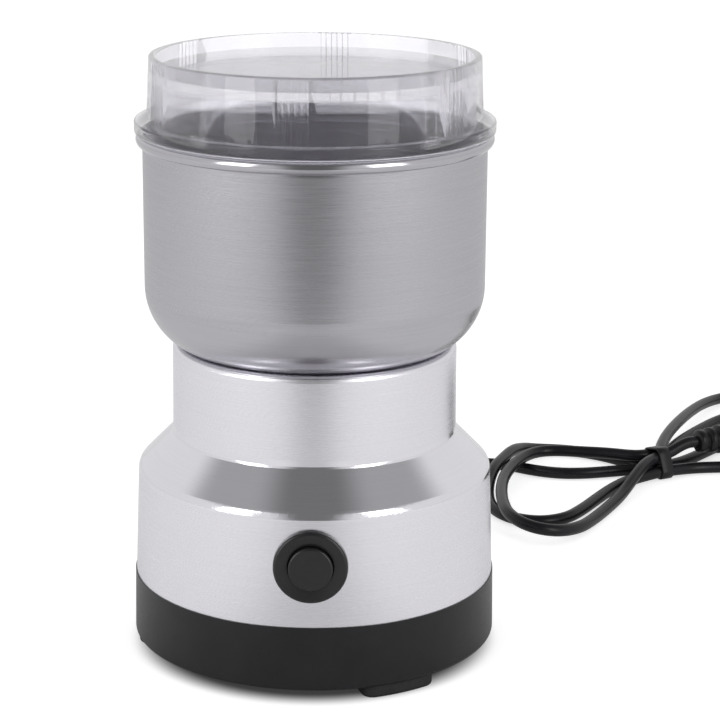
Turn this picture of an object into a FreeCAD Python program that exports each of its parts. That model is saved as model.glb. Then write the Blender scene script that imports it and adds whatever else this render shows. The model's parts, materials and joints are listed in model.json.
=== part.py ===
# Electric spice grinder: a steel bowl with a clear lid, on a steel housing that holds the motor,
# over a black base. Millimetres, +Z up, the button faces -Y, the origin lies under the axis on the floor.
import FreeCAD, Part
import Sketcher
import math
import os

Vector = FreeCAD.Vector
doc = FreeCAD.newDocument("spice_grinder")
sheet = doc.addObject("Spreadsheet::Sheet", "Sizes")

# Driving dimensions, each a cell of the sheet: heights end in _z and count from the floor,
# radii from the grinder's axis end in _r.
SIZES = {
    # Feet and base
    "foot_rise": 3.8, "foot_outer_r": 52.5, "foot_inner_r": 41.0, "foot_sweep": 26.5,
    "foot_corner": 3.5, "foot_edge": 1.2, "foot_stem_r": 2.5, "foot_stem_at_r": 45.5,
    "base_foot_r": 53.5, "base_top_r": 53.2, "band_z": 22.6, "base_edge": 1.0,
    "base_floor": 2.5, "spigot_gap": 0.4, "spigot_wall": 1.8, "spigot_rise": 5.4,
    "vent_inner_r": 15.0, "vent_long": 13.0, "vent_wide": 2.4,
    # Steel housing
    "shell_foot_r": 52.9, "crease_r": 51.75, "crease_z": 55.0, "neck_foot_r": 41.55,
    "neck_foot_z": 65.4, "neck_top_r": 41.35, "neck_top_z": 91.6, "shell_sheet": 0.7,
    "crease_round": 3.5, "neck_round": 1.0, "roll_round": 1.8,
    # Bowl
    "bowl_r": 49.2, "floor_inset": 9.35, "lip_clear": 0.3305, "bowl_tall": 63.9, "bowl_sheet": 0.8,
    "bead_tall": 3.9, "bead_proud": 1.9,
    "mark_rise": 2.4, "mark_drop": 14.4, "mark_sweep": 25.0, "mark_proud": 0.4, "mark_azimuth": 146.0,
    # Lid
    "lid_tall": 21.6, "lid_inset": 1.25, "lid_taper": 0.85, "lid_wall": 2.0,
    "flange_out": 0.4, "flange_thick": 3.5, "disc_drop": 4.2, "disc_thick": 2.6,
    "skirt_drop": 5.1, "skirt_gap": 0.3, "skirt_wall": 1.8, "lid_edge": 0.6,
    "rib_r": 1.0, "rib_proud": 0.4, "rib_step": 2.05,
    # Motor frame and what it clamps
    "frame_thick": 4.0, "neck_gap": 0.6, "frame_ring_wall": 2.6, "lip_reach": 2.0, "lip_gap": 0.3,
    "gasket_thick": 1.0, "gasket_outer_r": 28.0, "gasket_inner_r": 20.0,
    "frame_boss_r": 9.0, "boss_rise": 6.8, "boss_gap": 0.1, "hub_drop": 4.0, "hub_ledge": 0.5,
    "hub_mouth_r": 5.5, "fit_gap": 0.02,
    "leg_r": 4.7, "leg_at_r": 35.0, "post_r": 5.0, "post_at": 24.0,
    "seal_thick": 0.8, "seal_outer_r": 14.0, "nut_outer_r": 15.5,
    "nut_slot_wide": 3.0, "nut_slot_deep": 1.2,
    # Shaft, bearings and blade
    "shaft_r": 4.0, "shaft_foot_z": 16.8, "shoulder_rise": 2.3, "tip_r": 3.0, "tip_rise": 6.4,
    "run_gap": 0.05, "bush_r": 7.0, "bush_long": 9.0, "lip_long": 4.0,
    "blade_reach": 36.0, "blade_wide": 10.0, "blade_thick": 1.5, "blade_disc_r": 9.0,
    "blade_bend_at": 17.0, "blade_tilt": 24.0, "blade_droop": 6.0, "blade_nut_r": 5.5,
    "blade_nut_rise": 5.6, "wing_lap": 0.8, "tip_gap": 0.2,
    # Motor
    "stack_z": 45.0, "stack_long": 24.0, "yoke_outer_r": 29.5, "yoke_inner_r": 26.0,
    "pole_wide": 16.0, "shoe_outer_r": 17.6, "shoe_sweep": 100.0, "stator_bore_r": 15.5,
    "air_gap": 0.25, "coil_near": 18.0, "coil_thick": 4.0, "coil_build": 4.8, "coil_gap": 0.15,
    "slot_wide": 2.2, "slot_floor_r": 9.0, "wire_gap": 0.1, "end_turn_r": 13.8, "end_turn_rise": 4.4,
    "commutator_r": 10.0, "commutator_z": 27.0, "commutator_long": 12.6, "riser_r": 12.0,
    "riser_thick": 1.4, "bar_slot_wide": 0.5, "bar_slot_deep": 0.8,
    "fan_r": 18.0, "fan_hub_r": 7.0, "fan_z": 74.6, "fan_rise": 5.4, "fan_plate": 1.0,
    "fan_blade": 1.0,
    "bracket_z": 17.5, "bracket_plate": 4.0, "bracket_wide": 14.0, "arm_near": 15.0,
    "arm_thick": 3.5, "bracket_reach": 29.0, "bracket_hub_r": 9.5, "hub_floor": 0.5,
    "bracket_hub_drop": 1.5, "motor_screw_r": 1.7,
    "motor_screw_long": 34.0, "motor_head_r": 3.0, "motor_head_rise": 2.4, "pilot_gap": 0.05,
    "brush_z": 33.0, "holder_size": 7.0, "brush_size": 5.0, "holder_near": 10.9, "holder_far": 28.4,
    "cap_thick": 1.0, "brush_long": 12.0, "brush_gap": 0.06, "slide_gap": 0.05, "spring_gap": 0.1,
    "brush_lead_in": 3.4,
    # Base screws and cord clamp
    "screw_r": 2.0, "screw_long": 16.0, "screw_head_r": 3.5, "screw_head_rise": 2.6,
    "screw_boss_r": 6.0, "screw_boss_rise": 4.0, "head_gap": 0.3, "screw_web": 2.3,
    "drive_long": 4.4, "drive_wide": 1.0, "drive_deep": 0.8,
    "clamp_at": 42.0, "clamp_wide": 5.0, "clamp_long": 21.0, "clamp_thick": 3.6, "clamp_split": 0.8,
    "clamp_screw_r": 1.3, "clamp_screw_long": 9.0, "clamp_screw_at": 7.2, "clamp_head_r": 2.4,
    "clamp_head_rise": 1.6,
    # Button and switch
    "button_z": 40.45, "bezel_r": 10.45, "bezel_proud": 1.6, "bezel_edge": 0.9, "bezel_dish": 0.45,
    "bezel_root": 1.6,
    "barrel_r": 8.0, "barrel_bore_r": 6.55, "barrel_long": 12.5, "hole_gap": 0.2, "button_r": 6.25,
    "button_proud": 2.9, "button_edge": 0.6, "button_skirt": 5.0, "button_travel": 2.5,
    "stem_r": 1.6, "ring_nut_r": 10.6, "ring_nut_thick": 3.0, "ring_nut_back": 2.1,
    "switch_wide": 14.0, "switch_deep": 9.0, "switch_tall": 14.0, "plunger_r": 1.9, "plunger_long": 4.0,
    "plunger_gap": 0.3,
    "terminal_wide": 2.0, "terminal_thick": 0.8, "terminal_long": 4.0,
    "spring_r": 4.4, "spring_wire_r": 0.3, "brush_spring_r": 1.7, "brush_spring_wire_r": 0.2,
    # Cord, grommet, tie and plug
    "cord_r": 2.1, "cord_exit_z": 13.2, "jacket_foot": 36.0, "grommet_r": 6.3, "grommet_proud": 3.4,
    "grommet_back": 3.7, "grommet_flange": 1.5, "grommet_seat": 0.5,
    "relief_long": 24.0, "relief_foot_r": 4.6, "relief_tip_r": 3.1,
    "groove_deep": 0.7, "groove_long": 1.4, "wire_r": 0.9,
    "tie_wide": 5.0, "tie_thick": 0.6, "tie_gap": 0.1,
    "plug_relief_long": 16.0, "plug_relief_foot_r": 4.0, "plug_relief_tip_r": 5.6,
    "plug_long": 36.0, "plug_wide": 26.0, "plug_neck_wide": 15.0, "plug_thick": 14.0,
    "plug_round": 3.0,
    "pin_r": 2.0, "pin_long": 19.0, "pin_half_pitch": 9.3,
}
FEET_AZIMUTHS = (30.0, 150.0, 270.0)
LEG_AZIMUTHS = (90.0, 210.0, 330.0)
VENTS = 12
ROTOR_SLOTS = 12
COMMUTATOR_BARS = 16
FAN_BLADES = 9
RIB_GROUPS = 6
RIBS_PER_GROUP = 5
RIB_LEAD_AZIMUTH = -6.0
BLADE_LEAD_AZIMUTH = 20.0
RELIEF_GROOVES = 5
BUTTON_SPRING_TURNS = 5
BRUSH_SPRING_TURNS = 6
# How far a cutting tool runs past the face that it cuts, and a joined block into its neighbour.
PAST = 1.0

# The cord's free stretch, from the relief's tip to the hank, as points chosen by hand.
LEAD_POINTS = [
    (0.0, 92.0, 13.2), (1.5, 105.0, 11.0), (6.0, 118.0, 6.4), (13.5, 130.5, 3.0),
    (23.0, 142.0, 2.2), (34.0, 151.8, 2.2), (46.0, 158.8, 2.2), (58.0, 161.6, 2.2),
    (68.5, 159.0, 2.2), (76.5, 153.4, 2.2), (85.5, 150.0, 2.2), (94.5, 150.2, 2.2), (103.0, 152.4, 2.2),
]
# The hank: its tie, the direction of its waist, and each loop outside the tie. A lane of the tie has
# its place across the waist and its height at the near and at the far side. A loop leaves the tie
# in one lane and comes back in another, and its points give the place and the rise.
TIE_AT = (121.6, 155.8)
TIE_HEADING = 27.0
TIE_HALF = 2.8
LANES = {"low_front": (-5.0, 2.9, 2.9), "low_middle": (0.0, 2.9, 2.9), "low_back": (5.2, 2.9, 2.9),
         "high_front": (-2.5, 7.5, 8.4), "high_back": (2.7, 7.2, 7.2)}
INNER_RIGHT_LOOP = [
    (131.0, 163.0, 2.4), (138.0, 171.5, 2.2), (147.0, 183.5, 2.2), (158.5, 195.5, 2.2),
    (172.0, 203.0, 2.2), (183.9, 211.7, 2.2), (186.1, 222.7, 2.2), (178.0, 231.6, 2.2),
    (165.0, 229.3, 2.2), (153.4, 219.0, 2.2), (143.6, 205.0, 2.2), (134.6, 190.5, 2.2),
    (128.6, 178.0, 2.2), (125.6, 169.6, 2.3), (122.6, 163.6, 2.7),
]
OUTER_LEFT_LOOP = [
    (114.4, 160.4, 2.7), (110.2, 164.4, 2.4), (105.2, 170.2, 2.2), (97.6, 175.4, 2.2), (88.5, 178.4, 2.2),
    (79.8, 177.2, 2.8), (73.6, 171.0, 5.2), (69.3, 162.0, 7.1), (65.4, 151.8, 7.1),
    (61.7, 141.8, 7.1), (59.2, 131.2, 4.8), (58.4, 120.2, 2.6), (59.8, 109.0, 2.2),
    (65.8, 99.6, 2.2), (75.1, 96.2, 2.2), (84.2, 100.4, 2.2), (90.6, 110.0, 2.2),
    (96.6, 121.4, 2.2), (102.8, 132.6, 2.2), (110.2, 142.6, 2.3),
]
OUTER_RIGHT_LOOP = [
    (135.3, 157.6, 2.3), (146.4, 159.2, 2.2), (158.6, 160.2, 2.2), (172.5, 162.4, 2.2),
    (187.0, 169.6, 2.2), (197.4, 182.4, 2.2), (203.0, 197.6, 2.2), (203.8, 214.1, 2.2),
    (201.0, 230.0, 2.2), (194.2, 244.4, 2.2), (183.5, 254.2, 2.2), (170.0, 256.2, 2.2),
    (157.4, 247.6, 2.6), (149.2, 235.0, 4.0), (142.0, 219.0, 5.4), (135.2, 201.0, 6.8),
    (129.2, 184.0, 7.6), (125.2, 170.4, 7.6),
]
INNER_LEFT_LOOP = [
    (112.6, 156.4, 7.1), (104.0, 159.4, 7.1), (94.9, 160.6, 7.1), (86.8, 162.1, 7.1),
    (79.8, 161.2, 7.1), (74.5, 156.6, 7.1), (70.2, 148.4, 7.1), (66.7, 138.9, 7.1),
    (64.1, 128.2, 7.1), (62.7, 115.8, 7.1), (62.5, 102.3, 7.1), (63.8, 89.6, 7.1),
    (70.0, 80.8, 6.0), (79.6, 81.0, 4.3), (88.0, 89.4, 2.8), (93.8, 100.5, 2.2),
    (99.8, 112.6, 2.2), (105.6, 124.6, 2.8), (110.8, 135.2, 5.4), (115.6, 145.0, 7.4),
]
PLUG_AT = (136.4, 160.4, 11.5)
PLUG_HEADING = 21.0
END_RUN = 4.6


class Size:
    """A cell of the sheet, or a sum or product of cells, with the text that binds to it."""

    def __init__(self, value, text):
        self.value = value
        self.text = text

    def joined(self, other, sign, value):
        return Size(value, "(" + self.text + " " + sign + " " + text_of(other) + ")")

    def __add__(self, other):
        return self.joined(other, "+", self.value + value_of(other))

    def __sub__(self, other):
        return self.joined(other, "-", self.value - value_of(other))

    def __mul__(self, other):
        return self.joined(other, "*", self.value * value_of(other))

    def __truediv__(self, other):
        return self.joined(other, "/", self.value / value_of(other))

    def __radd__(self, other):
        return Size(float(other), repr(float(other))) + self

    def __rmul__(self, other):
        return self * other

    def __rsub__(self, other):
        return Size(float(other), repr(float(other))) - self

    def __neg__(self):
        return self * -1.0


def value_of(size):
    return size.value if isinstance(size, Size) else float(size)


def text_of(size):
    return size.text if isinstance(size, Size) else repr(float(size))


class Sizes:
    """Every named size, as attributes."""


S = Sizes()
for row, (alias, number) in enumerate(SIZES.items(), start=1):
    sheet.set("A%d" % row, alias)
    sheet.set("B%d" % row, repr(number))
    sheet.setAlias("B%d" % row, alias)
    setattr(S, alias, Size(number, "Sizes." + alias))
doc.recompute()

NODES = {}
TURNS = {
    "+z": FreeCAD.Rotation(),
    "+x": FreeCAD.Rotation(Vector(0, 1, 0), 90),
    "-x": FreeCAD.Rotation(Vector(0, 1, 0), -90),
    "+y": FreeCAD.Rotation(Vector(1, 0, 0), -90),
    "-y": FreeCAD.Rotation(Vector(1, 0, 0), 90),
}


def keep(item, node):
    """Make this item the sub-part of that name."""
    item.Label = node
    NODES[node] = item
    return item


def place(item, at, turn=None):
    """Turn an item about its own origin and bind its place to the sheet."""
    if turn is not None:
        item.Placement = FreeCAD.Placement(Vector(), turn)
    for axis, size in zip("xyz", at):
        item.setExpression("Placement.Base." + axis, text_of(size))
    return item


def around(azimuth, radius):
    """A place at this radius: azimuth 0 is the front, -Y, and 90 is +X."""
    angle = math.radians(azimuth)
    return radius * math.sin(angle), radius * -math.cos(angle)


def cylinder(name, radius, length, at=(0, 0, 0), axis="+z", sweep=None, turn=None):
    item = doc.addObject("Part::Cylinder", name)
    item.setExpression("Radius", text_of(radius))
    item.setExpression("Height", text_of(length))
    if sweep is not None:
        item.setExpression("Angle", text_of(sweep))
    return place(item, at, turn or TURNS[axis])


def box(name, spans, corner, turn=None):
    item = doc.addObject("Part::Box", name)
    for side, size in zip(("Length", "Width", "Height"), spans):
        item.setExpression(side, text_of(size))
    return place(item, corner, turn)


def bar_around(name, azimuth, near, long, wide, foot, rise):
    """A box that points away from the axis at this azimuth."""
    along_x, along_y = around(azimuth, near)
    side_x, side_y = around(azimuth - 90.0, wide / 2)
    turn = FreeCAD.Rotation(Vector(0, 0, 1), azimuth - 90.0)
    return box(name, (long, wide, rise), (along_x + side_x, along_y + side_y, foot), turn)


def fuse(name, items):
    item = doc.addObject("Part::MultiFuse", name)
    item.Shapes = items
    return item


def cut(name, base, tools):
    item = doc.addObject("Part::Cut", name)
    item.Base = base
    item.Tool = tools[0] if len(tools) == 1 else fuse(name + "_tools", tools)
    return item


def group(name, items):
    """Separate solids that share one node."""
    item = doc.addObject("Part::Compound", name)
    item.Links = items
    return item


def ring(name, outer, inner, foot, rise):
    solid = cylinder(name + "_outer", outer, rise, (0, 0, foot))
    bore = cylinder(name + "_bore", inner, rise + 2.0, (0, 0, foot - 1.0))
    return cut(name, solid, [bore])


def arc_between(start, end, radius, side):
    """The arc from start to end whose centre lies to the left (1) or right (-1) of the chord."""
    chord = end - start
    half = chord.Length / 2
    normal = Vector(-chord.y, chord.x, 0).normalize()
    height = math.sqrt(max(radius * radius - half * half, 0.0))
    centre = (start + end) * 0.5 + normal * (height * side)
    circle = Part.Circle(centre, Vector(0, 0, 1), radius)
    first, last = (start, end) if side > 0 else (end, start)
    return Part.ArcOfCircle(circle, circle.parameter(first), circle.parameter(last))


def outline(body, name, corners):
    """A closed sketch in the body's XZ plane. A corner is (r, z), or (r, z, radius, side)
    where an arc leads on to the next corner."""
    sketch = body.newObject("Sketcher::SketchObject", name)
    plane = [item for item in body.Origin.OriginFeatures if item.Role == "XZ_Plane"][0]
    sketch.AttachmentSupport = [(plane, "")]
    sketch.MapMode = "FlatFace"
    points = [Vector(value_of(corner[0]), value_of(corner[1]), 0) for corner in corners]
    count = len(corners)
    starts = []
    ends = []
    for index, corner in enumerate(corners):
        start, end = points[index], points[(index + 1) % count]
        if len(corner) == 4:
            edge = sketch.addGeometry(arc_between(start, end, value_of(corner[2]), corner[3]), False)
            starts.append((edge, 1 if corner[3] > 0 else 2))
            ends.append((edge, 2 if corner[3] > 0 else 1))
        else:
            edge = sketch.addGeometry(Part.LineSegment(start, end), False)
            starts.append((edge, 1))
            ends.append((edge, 2))
    for index in range(count):
        after = starts[(index + 1) % count]
        sketch.addConstraint(Sketcher.Constraint("Coincident", *ends[index], *after))
    for index, corner in enumerate(corners):
        for kind, axis, size in (("DistanceX", -2, corner[0]), ("DistanceY", -1, corner[1])):
            if not isinstance(size, Size) and size == 0:
                sketch.addConstraint(Sketcher.Constraint("PointOnObject", *starts[index], axis))
            else:
                bound(sketch, Sketcher.Constraint(kind, -1, 1, *starts[index], value_of(size)), size)
        if len(corner) == 4:
            edge = starts[index][0]
            bound(sketch, Sketcher.Constraint("Radius", edge, value_of(corner[2])), corner[2])
    return sketch


def bound(sketch, constraint, size):
    """Add a constraint whose value comes from the sheet."""
    number = sketch.addConstraint(constraint)
    sketch.setExpression("Constraints[%d]" % number, text_of(size))


def revolved(name, *outlines):
    """A body with one revolution about its own Z for each outline."""
    body = doc.addObject("PartDesign::Body", name)
    for index, corners in enumerate(outlines):
        sketch = outline(body, "%s_outline_%d" % (name, index), corners)
        feature = body.newObject("PartDesign::Revolution", "%s_turn_%d" % (name, index))
        feature.Profile = sketch
        feature.ReferenceAxis = (sketch, ["V_Axis"])
        feature.Angle = 360.0
        doc.recompute()
    return body


def soften(body, radius, height, amount, kind="PartDesign::Fillet"):
    """Round or bevel the body's circular edge of this radius at this height."""
    tip = body.Tip
    names = []
    for index, edge in enumerate(tip.Shape.Edges, start=1):
        curve = edge.Curve
        if not isinstance(curve, Part.Circle):
            continue
        if abs(curve.Radius - value_of(radius)) < 0.01 and abs(curve.Center.z - value_of(height)) < 0.01:
            names.append("Edge%d" % index)
    if not names:
        raise RuntimeError("no edge to soften on " + body.Name)
    feature = body.newObject(kind, body.Name + "_edge")
    feature.Base = (tip, names)
    feature.setExpression("Radius" if kind.endswith("Fillet") else "Size", text_of(amount))
    doc.recompute()


def hollow(body, heights, sheet_size):
    """Turn the body into a shell of this sheet, open at the flat faces at these heights."""
    tip = body.Tip
    names = []
    for index, face in enumerate(tip.Shape.Faces, start=1):
        if isinstance(face.Surface, Part.Plane):
            if any(abs(face.CenterOfMass.z - value_of(height)) < 0.01 for height in heights):
                names.append("Face%d" % index)
    feature = body.newObject("PartDesign::Thickness", body.Name + "_sheet")
    feature.Base = (tip, names)
    feature.setExpression("Value", text_of(sheet_size))
    feature.Reversed = True
    feature.Join = 0
    doc.recompute()


def fillet(name, base, radius, wanted=lambda edge: True):
    """Round a solid's edges, all of them or those that are wanted."""
    doc.recompute()
    item = doc.addObject("Part::Fillet", name)
    item.Base = base
    item.Edges = [(index, value_of(radius), value_of(radius))
                  for index, edge in enumerate(base.Shape.Edges, start=1) if wanted(edge)]
    return item


def coil_spring(name, radius, wire, length, turns, at, axis):
    """A round-wire helix along its axis, with its ends inside the length."""
    helix = doc.addObject("Part::Helix", name + "_line")
    helix.setExpression("Radius", text_of(radius))
    helix.setExpression("Height", text_of(length))
    helix.setExpression("Pitch", text_of(length / turns))
    circle = doc.addObject("Part::Circle", name + "_wire")
    circle.setExpression("Radius", text_of(wire))
    circle.Placement = FreeCAD.Placement(Vector(), TURNS["-y"])
    circle.setExpression("Placement.Base.x", text_of(radius))
    doc.recompute()
    sweep = doc.addObject("Part::Sweep", name)
    sweep.Sections = [circle]
    sweep.Spine = (helix, ["Edge1"])
    sweep.Solid = True
    sweep.Frenet = True
    return place(sweep, at, TURNS[axis])


def tube(name, edges, radius):
    """A round solid along a path of lines and arcs, square at both ends."""
    path = Part.Wire(edges)
    start = edges[0].Vertexes[0].Point if len(edges) == 1 else path.OrderedVertexes[0].Point
    first = path.OrderedEdges[0]
    aim = first.tangentAt(first.FirstParameter)
    if (first.valueAt(first.FirstParameter) - start).Length > 0.001:
        aim = -first.tangentAt(first.LastParameter)
    ring_wire = Part.Wire([Part.makeCircle(value_of(radius), start, aim)])
    item = doc.addObject("Part::Feature", name)
    item.Shape = path.makePipeShell([ring_wire], True, False)
    stated = math.pi * value_of(radius) ** 2 * path.Length
    share = item.Shape.Volume / stated
    print("%s: %.1f mm long, volume %.4f of section times length" % (name, path.Length, share))
    if abs(share - 1.0) > 0.02:
        raise RuntimeError(name + " has lost volume")
    return item


def rounded_edges(name, points, share=0.45):
    """Straight runs joined by tangent arcs, each as large as its two runs allow."""
    points = [Vector(*[value_of(number) for number in point]) for point in points]
    edges = []
    here = points[0]
    least = None
    for before, corner, after in zip(points, points[1:], points[2:]):
        back = before - corner
        on = after - corner
        reach = share * min(back.Length, on.Length)
        turn = math.pi - back.getAngle(on)
        radius = reach / math.tan(turn / 2)
        least = radius if least is None else min(least, radius)
        back.normalize()
        on.normalize()
        enter = corner + back * reach
        leave = corner + on * reach
        inward = (back + on).normalize()
        centre = corner + inward * math.hypot(reach, radius)
        edges.append(Part.LineSegment(here, enter).toShape())
        edges.append(Part.Arc(enter, centre - inward * radius, leave).toShape())
        here = leave
    edges.append(Part.LineSegment(here, points[-1]).toShape())
    print("%s: least radius %.1f mm" % (name, least))
    return edges


def arc_edge(start, corner, end):
    """The arc from start to end whose end tangents meet at the corner, or a line if it is flat."""
    chord = end - start
    rise = chord.getAngle(corner - start)
    if rise < 1e-4:
        return Part.LineSegment(start, end).toShape(), None
    middle = (start + end) * 0.5
    top = middle + (corner - middle).normalize() * (chord.Length / 2 * math.tan(rise / 2))
    return Part.Arc(start, top, end).toShape(), chord.Length / 2 / math.sin(rise)


def biarc_edges(name, points, first_aim, last_aim):
    """A smooth path through the points, two arcs to each stretch."""
    points = [Vector(*point) for point in points]
    aims = [first_aim, first_aim]
    for before, here, after in zip(points[1:], points[2:], points[3:]):
        back = here - before
        on = after - here
        aims.append((back * (on.Length / back.Length) + on * (back.Length / on.Length)).normalize())
    aims = aims[:len(points) - 2] + [last_aim, last_aim]
    edges = []
    least = None
    for index in range(len(points) - 1):
        start, end = points[index], points[index + 1]
        leave, arrive = aims[index], aims[index + 1]
        chord = end - start
        square = 2 * (1 - leave.dot(arrive))
        linear = 2 * chord.dot(leave + arrive)
        if square < 1e-9:
            reach = chord.dot(chord) / linear
        else:
            reach = (math.sqrt(linear ** 2 + 4 * square * chord.dot(chord)) - linear) / (2 * square)
        near = start + leave * reach
        far = end - arrive * reach
        middle = (near + far) * 0.5
        for one, corner, other in ((start, near, middle), (middle, far, end)):
            edge, radius = arc_edge(one, corner, other)
            edges.append(edge)
            if radius is not None:
                least = radius if least is None else min(least, radius)
    print("%s: least radius %.1f mm" % (name, least))
    return edges


def print_self_gap(name, edges, diameter, step=1.5, apart=14.0):
    """Measure on points how near a wound cord comes to itself."""
    points = []
    along = []
    length = 0.0
    for edge in edges:
        count = max(2, int(edge.Length / step) + 1)
        for point in edge.discretize(count)[:-1]:
            points.append(point)
            along.append(length)
            length += edge.Length / (count - 1)
    least = min(
        (points[one] - points[other]).Length
        for one in range(len(points)) for other in range(one + 1, len(points))
        if along[other] - along[one] > apart)
    print("%s: least gap to itself %.2f mm" % (name, least - value_of(diameter)))


def height_at(radius_foot, radius_top, foot_z, top_z, height):
    """The radius of a straight taper at this height."""
    return radius_foot + (radius_top - radius_foot) * (height - foot_z) / (top_z - foot_z)


# Levels and radii that several pieces share, worked out from the sheet.
base_floor_top = S.foot_rise + S.base_floor
spigot_r = S.shell_foot_r - S.shell_sheet - S.spigot_gap
base_inner_r = spigot_r - S.spigot_wall
leg_foot_z = base_floor_top + S.screw_boss_rise
# The bowl's flat floor goes down into the neck's mouth, and its round corner clears the lip.
lip_r = S.neck_top_r - S.lip_reach
flat_r = lip_r - S.floor_inset
corner_r = S.bowl_r - flat_r
corner_drop = Size((value_of(corner_r) ** 2 - SIZES["floor_inset"] ** 2) ** 0.5,
                   "sqrt(pow(%s; 2) - pow(Sizes.floor_inset; 2))" % text_of(corner_r))
bowl_floor_z = S.neck_top_z + S.lip_clear - corner_r + corner_drop
rim_z = bowl_floor_z + S.bowl_tall
plate_top_z = bowl_floor_z - S.gasket_thick
frame_z = plate_top_z - S.frame_thick
frame_r = S.neck_top_r - S.shell_sheet - S.neck_gap
lip_under_z = S.neck_top_z - S.shell_sheet
bowl_inside_z = bowl_floor_z + S.bowl_sheet
nut_foot_z = bowl_inside_z + S.seal_thick
boss_top_z = plate_top_z + S.boss_rise
shoulder_z = boss_top_z + S.shoulder_rise
stack_top_z = S.stack_z + S.stack_long
bush_bore_r = S.shaft_r + S.run_gap
upper_bush_z = frame_z - S.hub_drop + S.hub_ledge
bracket_hub_z = S.bracket_z - S.bracket_hub_drop
lower_bush_z = bracket_hub_z + S.hub_floor
core_r = S.stator_bore_r - S.air_gap
holder_half = S.holder_size / 2.0
holder_foot_z = S.brush_z - holder_half
brush_near = S.commutator_r + S.brush_gap
cord_wall_y = height_at(S.base_foot_r, S.base_top_r, S.foot_rise, S.band_z, S.cord_exit_z)
button_face_y = -height_at(S.shell_foot_r, S.crease_r, S.band_z, S.crease_z, S.button_z)
grommet_face_y = cord_wall_y + S.grommet_proud
relief_tip_y = grommet_face_y + S.relief_long


def upright(edge):
    return edge.BoundBox.XLength + edge.BoundBox.YLength < 0.01


def on_floor(edge):
    return edge.BoundBox.ZMax < 0.01


def make_feet():
    feet = []
    for azimuth in FEET_AZIMUTHS:
        name = "foot_%d" % azimuth
        turn = FreeCAD.Rotation(Vector(0, 0, 1), azimuth - 90.0 - SIZES["foot_sweep"] / 2)
        solid = cylinder(name + "_block", S.foot_outer_r, S.foot_rise, sweep=S.foot_sweep, turn=turn)
        inner = cylinder(name + "_inside", S.foot_inner_r, S.foot_rise + 2.0 * PAST, (0, 0, -PAST))
        pad = fillet(name + "_pad", cut(name + "_arc", solid, [inner]), S.foot_corner, upright)
        pad = fillet(name + "_sole", pad, S.foot_edge, on_floor)
        stem_x, stem_y = around(azimuth, S.foot_stem_at_r)
        stem = cylinder(name + "_stem", S.foot_stem_r, S.base_floor + PAST,
                        (stem_x, stem_y, S.foot_rise - PAST))
        feet.append(fuse(name, [pad, stem]))
    keep(group("foot_pads", feet), "foot_pads")


def make_base():
    body = revolved("base_turned", [
        (0, S.foot_rise), (S.base_foot_r, S.foot_rise), (S.base_top_r, S.band_z),
        (spigot_r, S.band_z), (spigot_r, S.band_z + S.spigot_rise),
        (base_inner_r, S.band_z + S.spigot_rise), (base_inner_r, base_floor_top), (0, base_floor_top),
    ])
    soften(body, S.base_foot_r, S.foot_rise, S.base_edge)
    block_rise = S.cord_exit_z - S.clamp_split / 2.0 - base_floor_top
    block = box("clamp_block", (S.clamp_long, S.clamp_wide, block_rise + PAST),
                (-S.clamp_long / 2.0, S.clamp_at - S.clamp_wide / 2.0, base_floor_top - PAST))
    added = [body, block]
    taken = [cylinder("cord_hole", S.grommet_r - S.grommet_flange,
                      S.base_foot_r - base_inner_r + 4.0 * PAST,
                      (0, base_inner_r - 3.0 * PAST, S.cord_exit_z), "+y"),
             cylinder("clamp_groove", S.cord_r + S.fit_gap, S.clamp_wide + 2.0 * PAST,
                      (0, S.clamp_at - S.clamp_wide / 2.0 - PAST, S.cord_exit_z), "+y")]
    for azimuth in LEG_AZIMUTHS:
        screw_x, screw_y = around(azimuth, S.leg_at_r)
        head_top = leg_foot_z - S.screw_web
        added.append(cylinder("screw_boss_%d" % azimuth, S.screw_boss_r, S.screw_boss_rise + PAST,
                              (screw_x, screw_y, base_floor_top - PAST)))
        taken.append(cylinder("screw_pocket_%d" % azimuth, S.screw_head_r + S.head_gap,
                              head_top - S.foot_rise + PAST, (screw_x, screw_y, S.foot_rise - PAST)))
        taken.append(cylinder("screw_way_%d" % azimuth, S.screw_r + S.hole_gap,
                              leg_foot_z - S.foot_rise + PAST, (screw_x, screw_y, S.foot_rise)))
    for azimuth in FEET_AZIMUTHS:
        stem_x, stem_y = around(azimuth, S.foot_stem_at_r)
        taken.append(cylinder("stem_hole_%d" % azimuth, S.foot_stem_r + S.fit_gap,
                              S.base_floor + 2.0 * PAST, (stem_x, stem_y, S.foot_rise - PAST)))
    for index in range(VENTS):
        taken.append(bar_around("vent_%d" % index, index * 360.0 / VENTS, S.vent_inner_r, S.vent_long,
                                S.vent_wide, S.foot_rise - PAST, S.base_floor + 2.0 * PAST))
    for side in (-1, 1):
        taken.append(cylinder("clamp_thread_%d" % side, S.clamp_screw_r + S.pilot_gap,
                              S.cord_exit_z - base_floor_top,
                              (S.clamp_screw_at * side, S.clamp_at, base_floor_top + PAST)))
    keep(cut("base_cover", fuse("base_solid", added), taken), "base_cover")


def make_shell():
    body = revolved("shell_turned", [
        (0, S.band_z), (S.shell_foot_r, S.band_z), (S.crease_r, S.crease_z),
        (S.neck_foot_r, S.neck_foot_z), (S.neck_top_r, S.neck_top_z), (0, S.neck_top_z),
    ])
    soften(body, S.crease_r, S.crease_z, S.crease_round)
    soften(body, S.neck_foot_r, S.neck_foot_z, S.neck_round)
    soften(body, S.neck_top_r, S.neck_top_z, S.roll_round)
    hollow(body, [S.band_z], S.shell_sheet)
    mouth = cylinder("shell_mouth", frame_r + S.neck_gap - S.lip_reach, 4.0 * PAST,
                     (0, 0, S.neck_top_z - 2.0 * PAST))
    hole = cylinder("button_hole", S.barrel_r + S.hole_gap, 8.0 * PAST,
                    (0, button_face_y + 4.0 * PAST, S.button_z), "-y")
    keep(cut("housing_shell", body, [mouth, hole]), "housing_shell")


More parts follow.
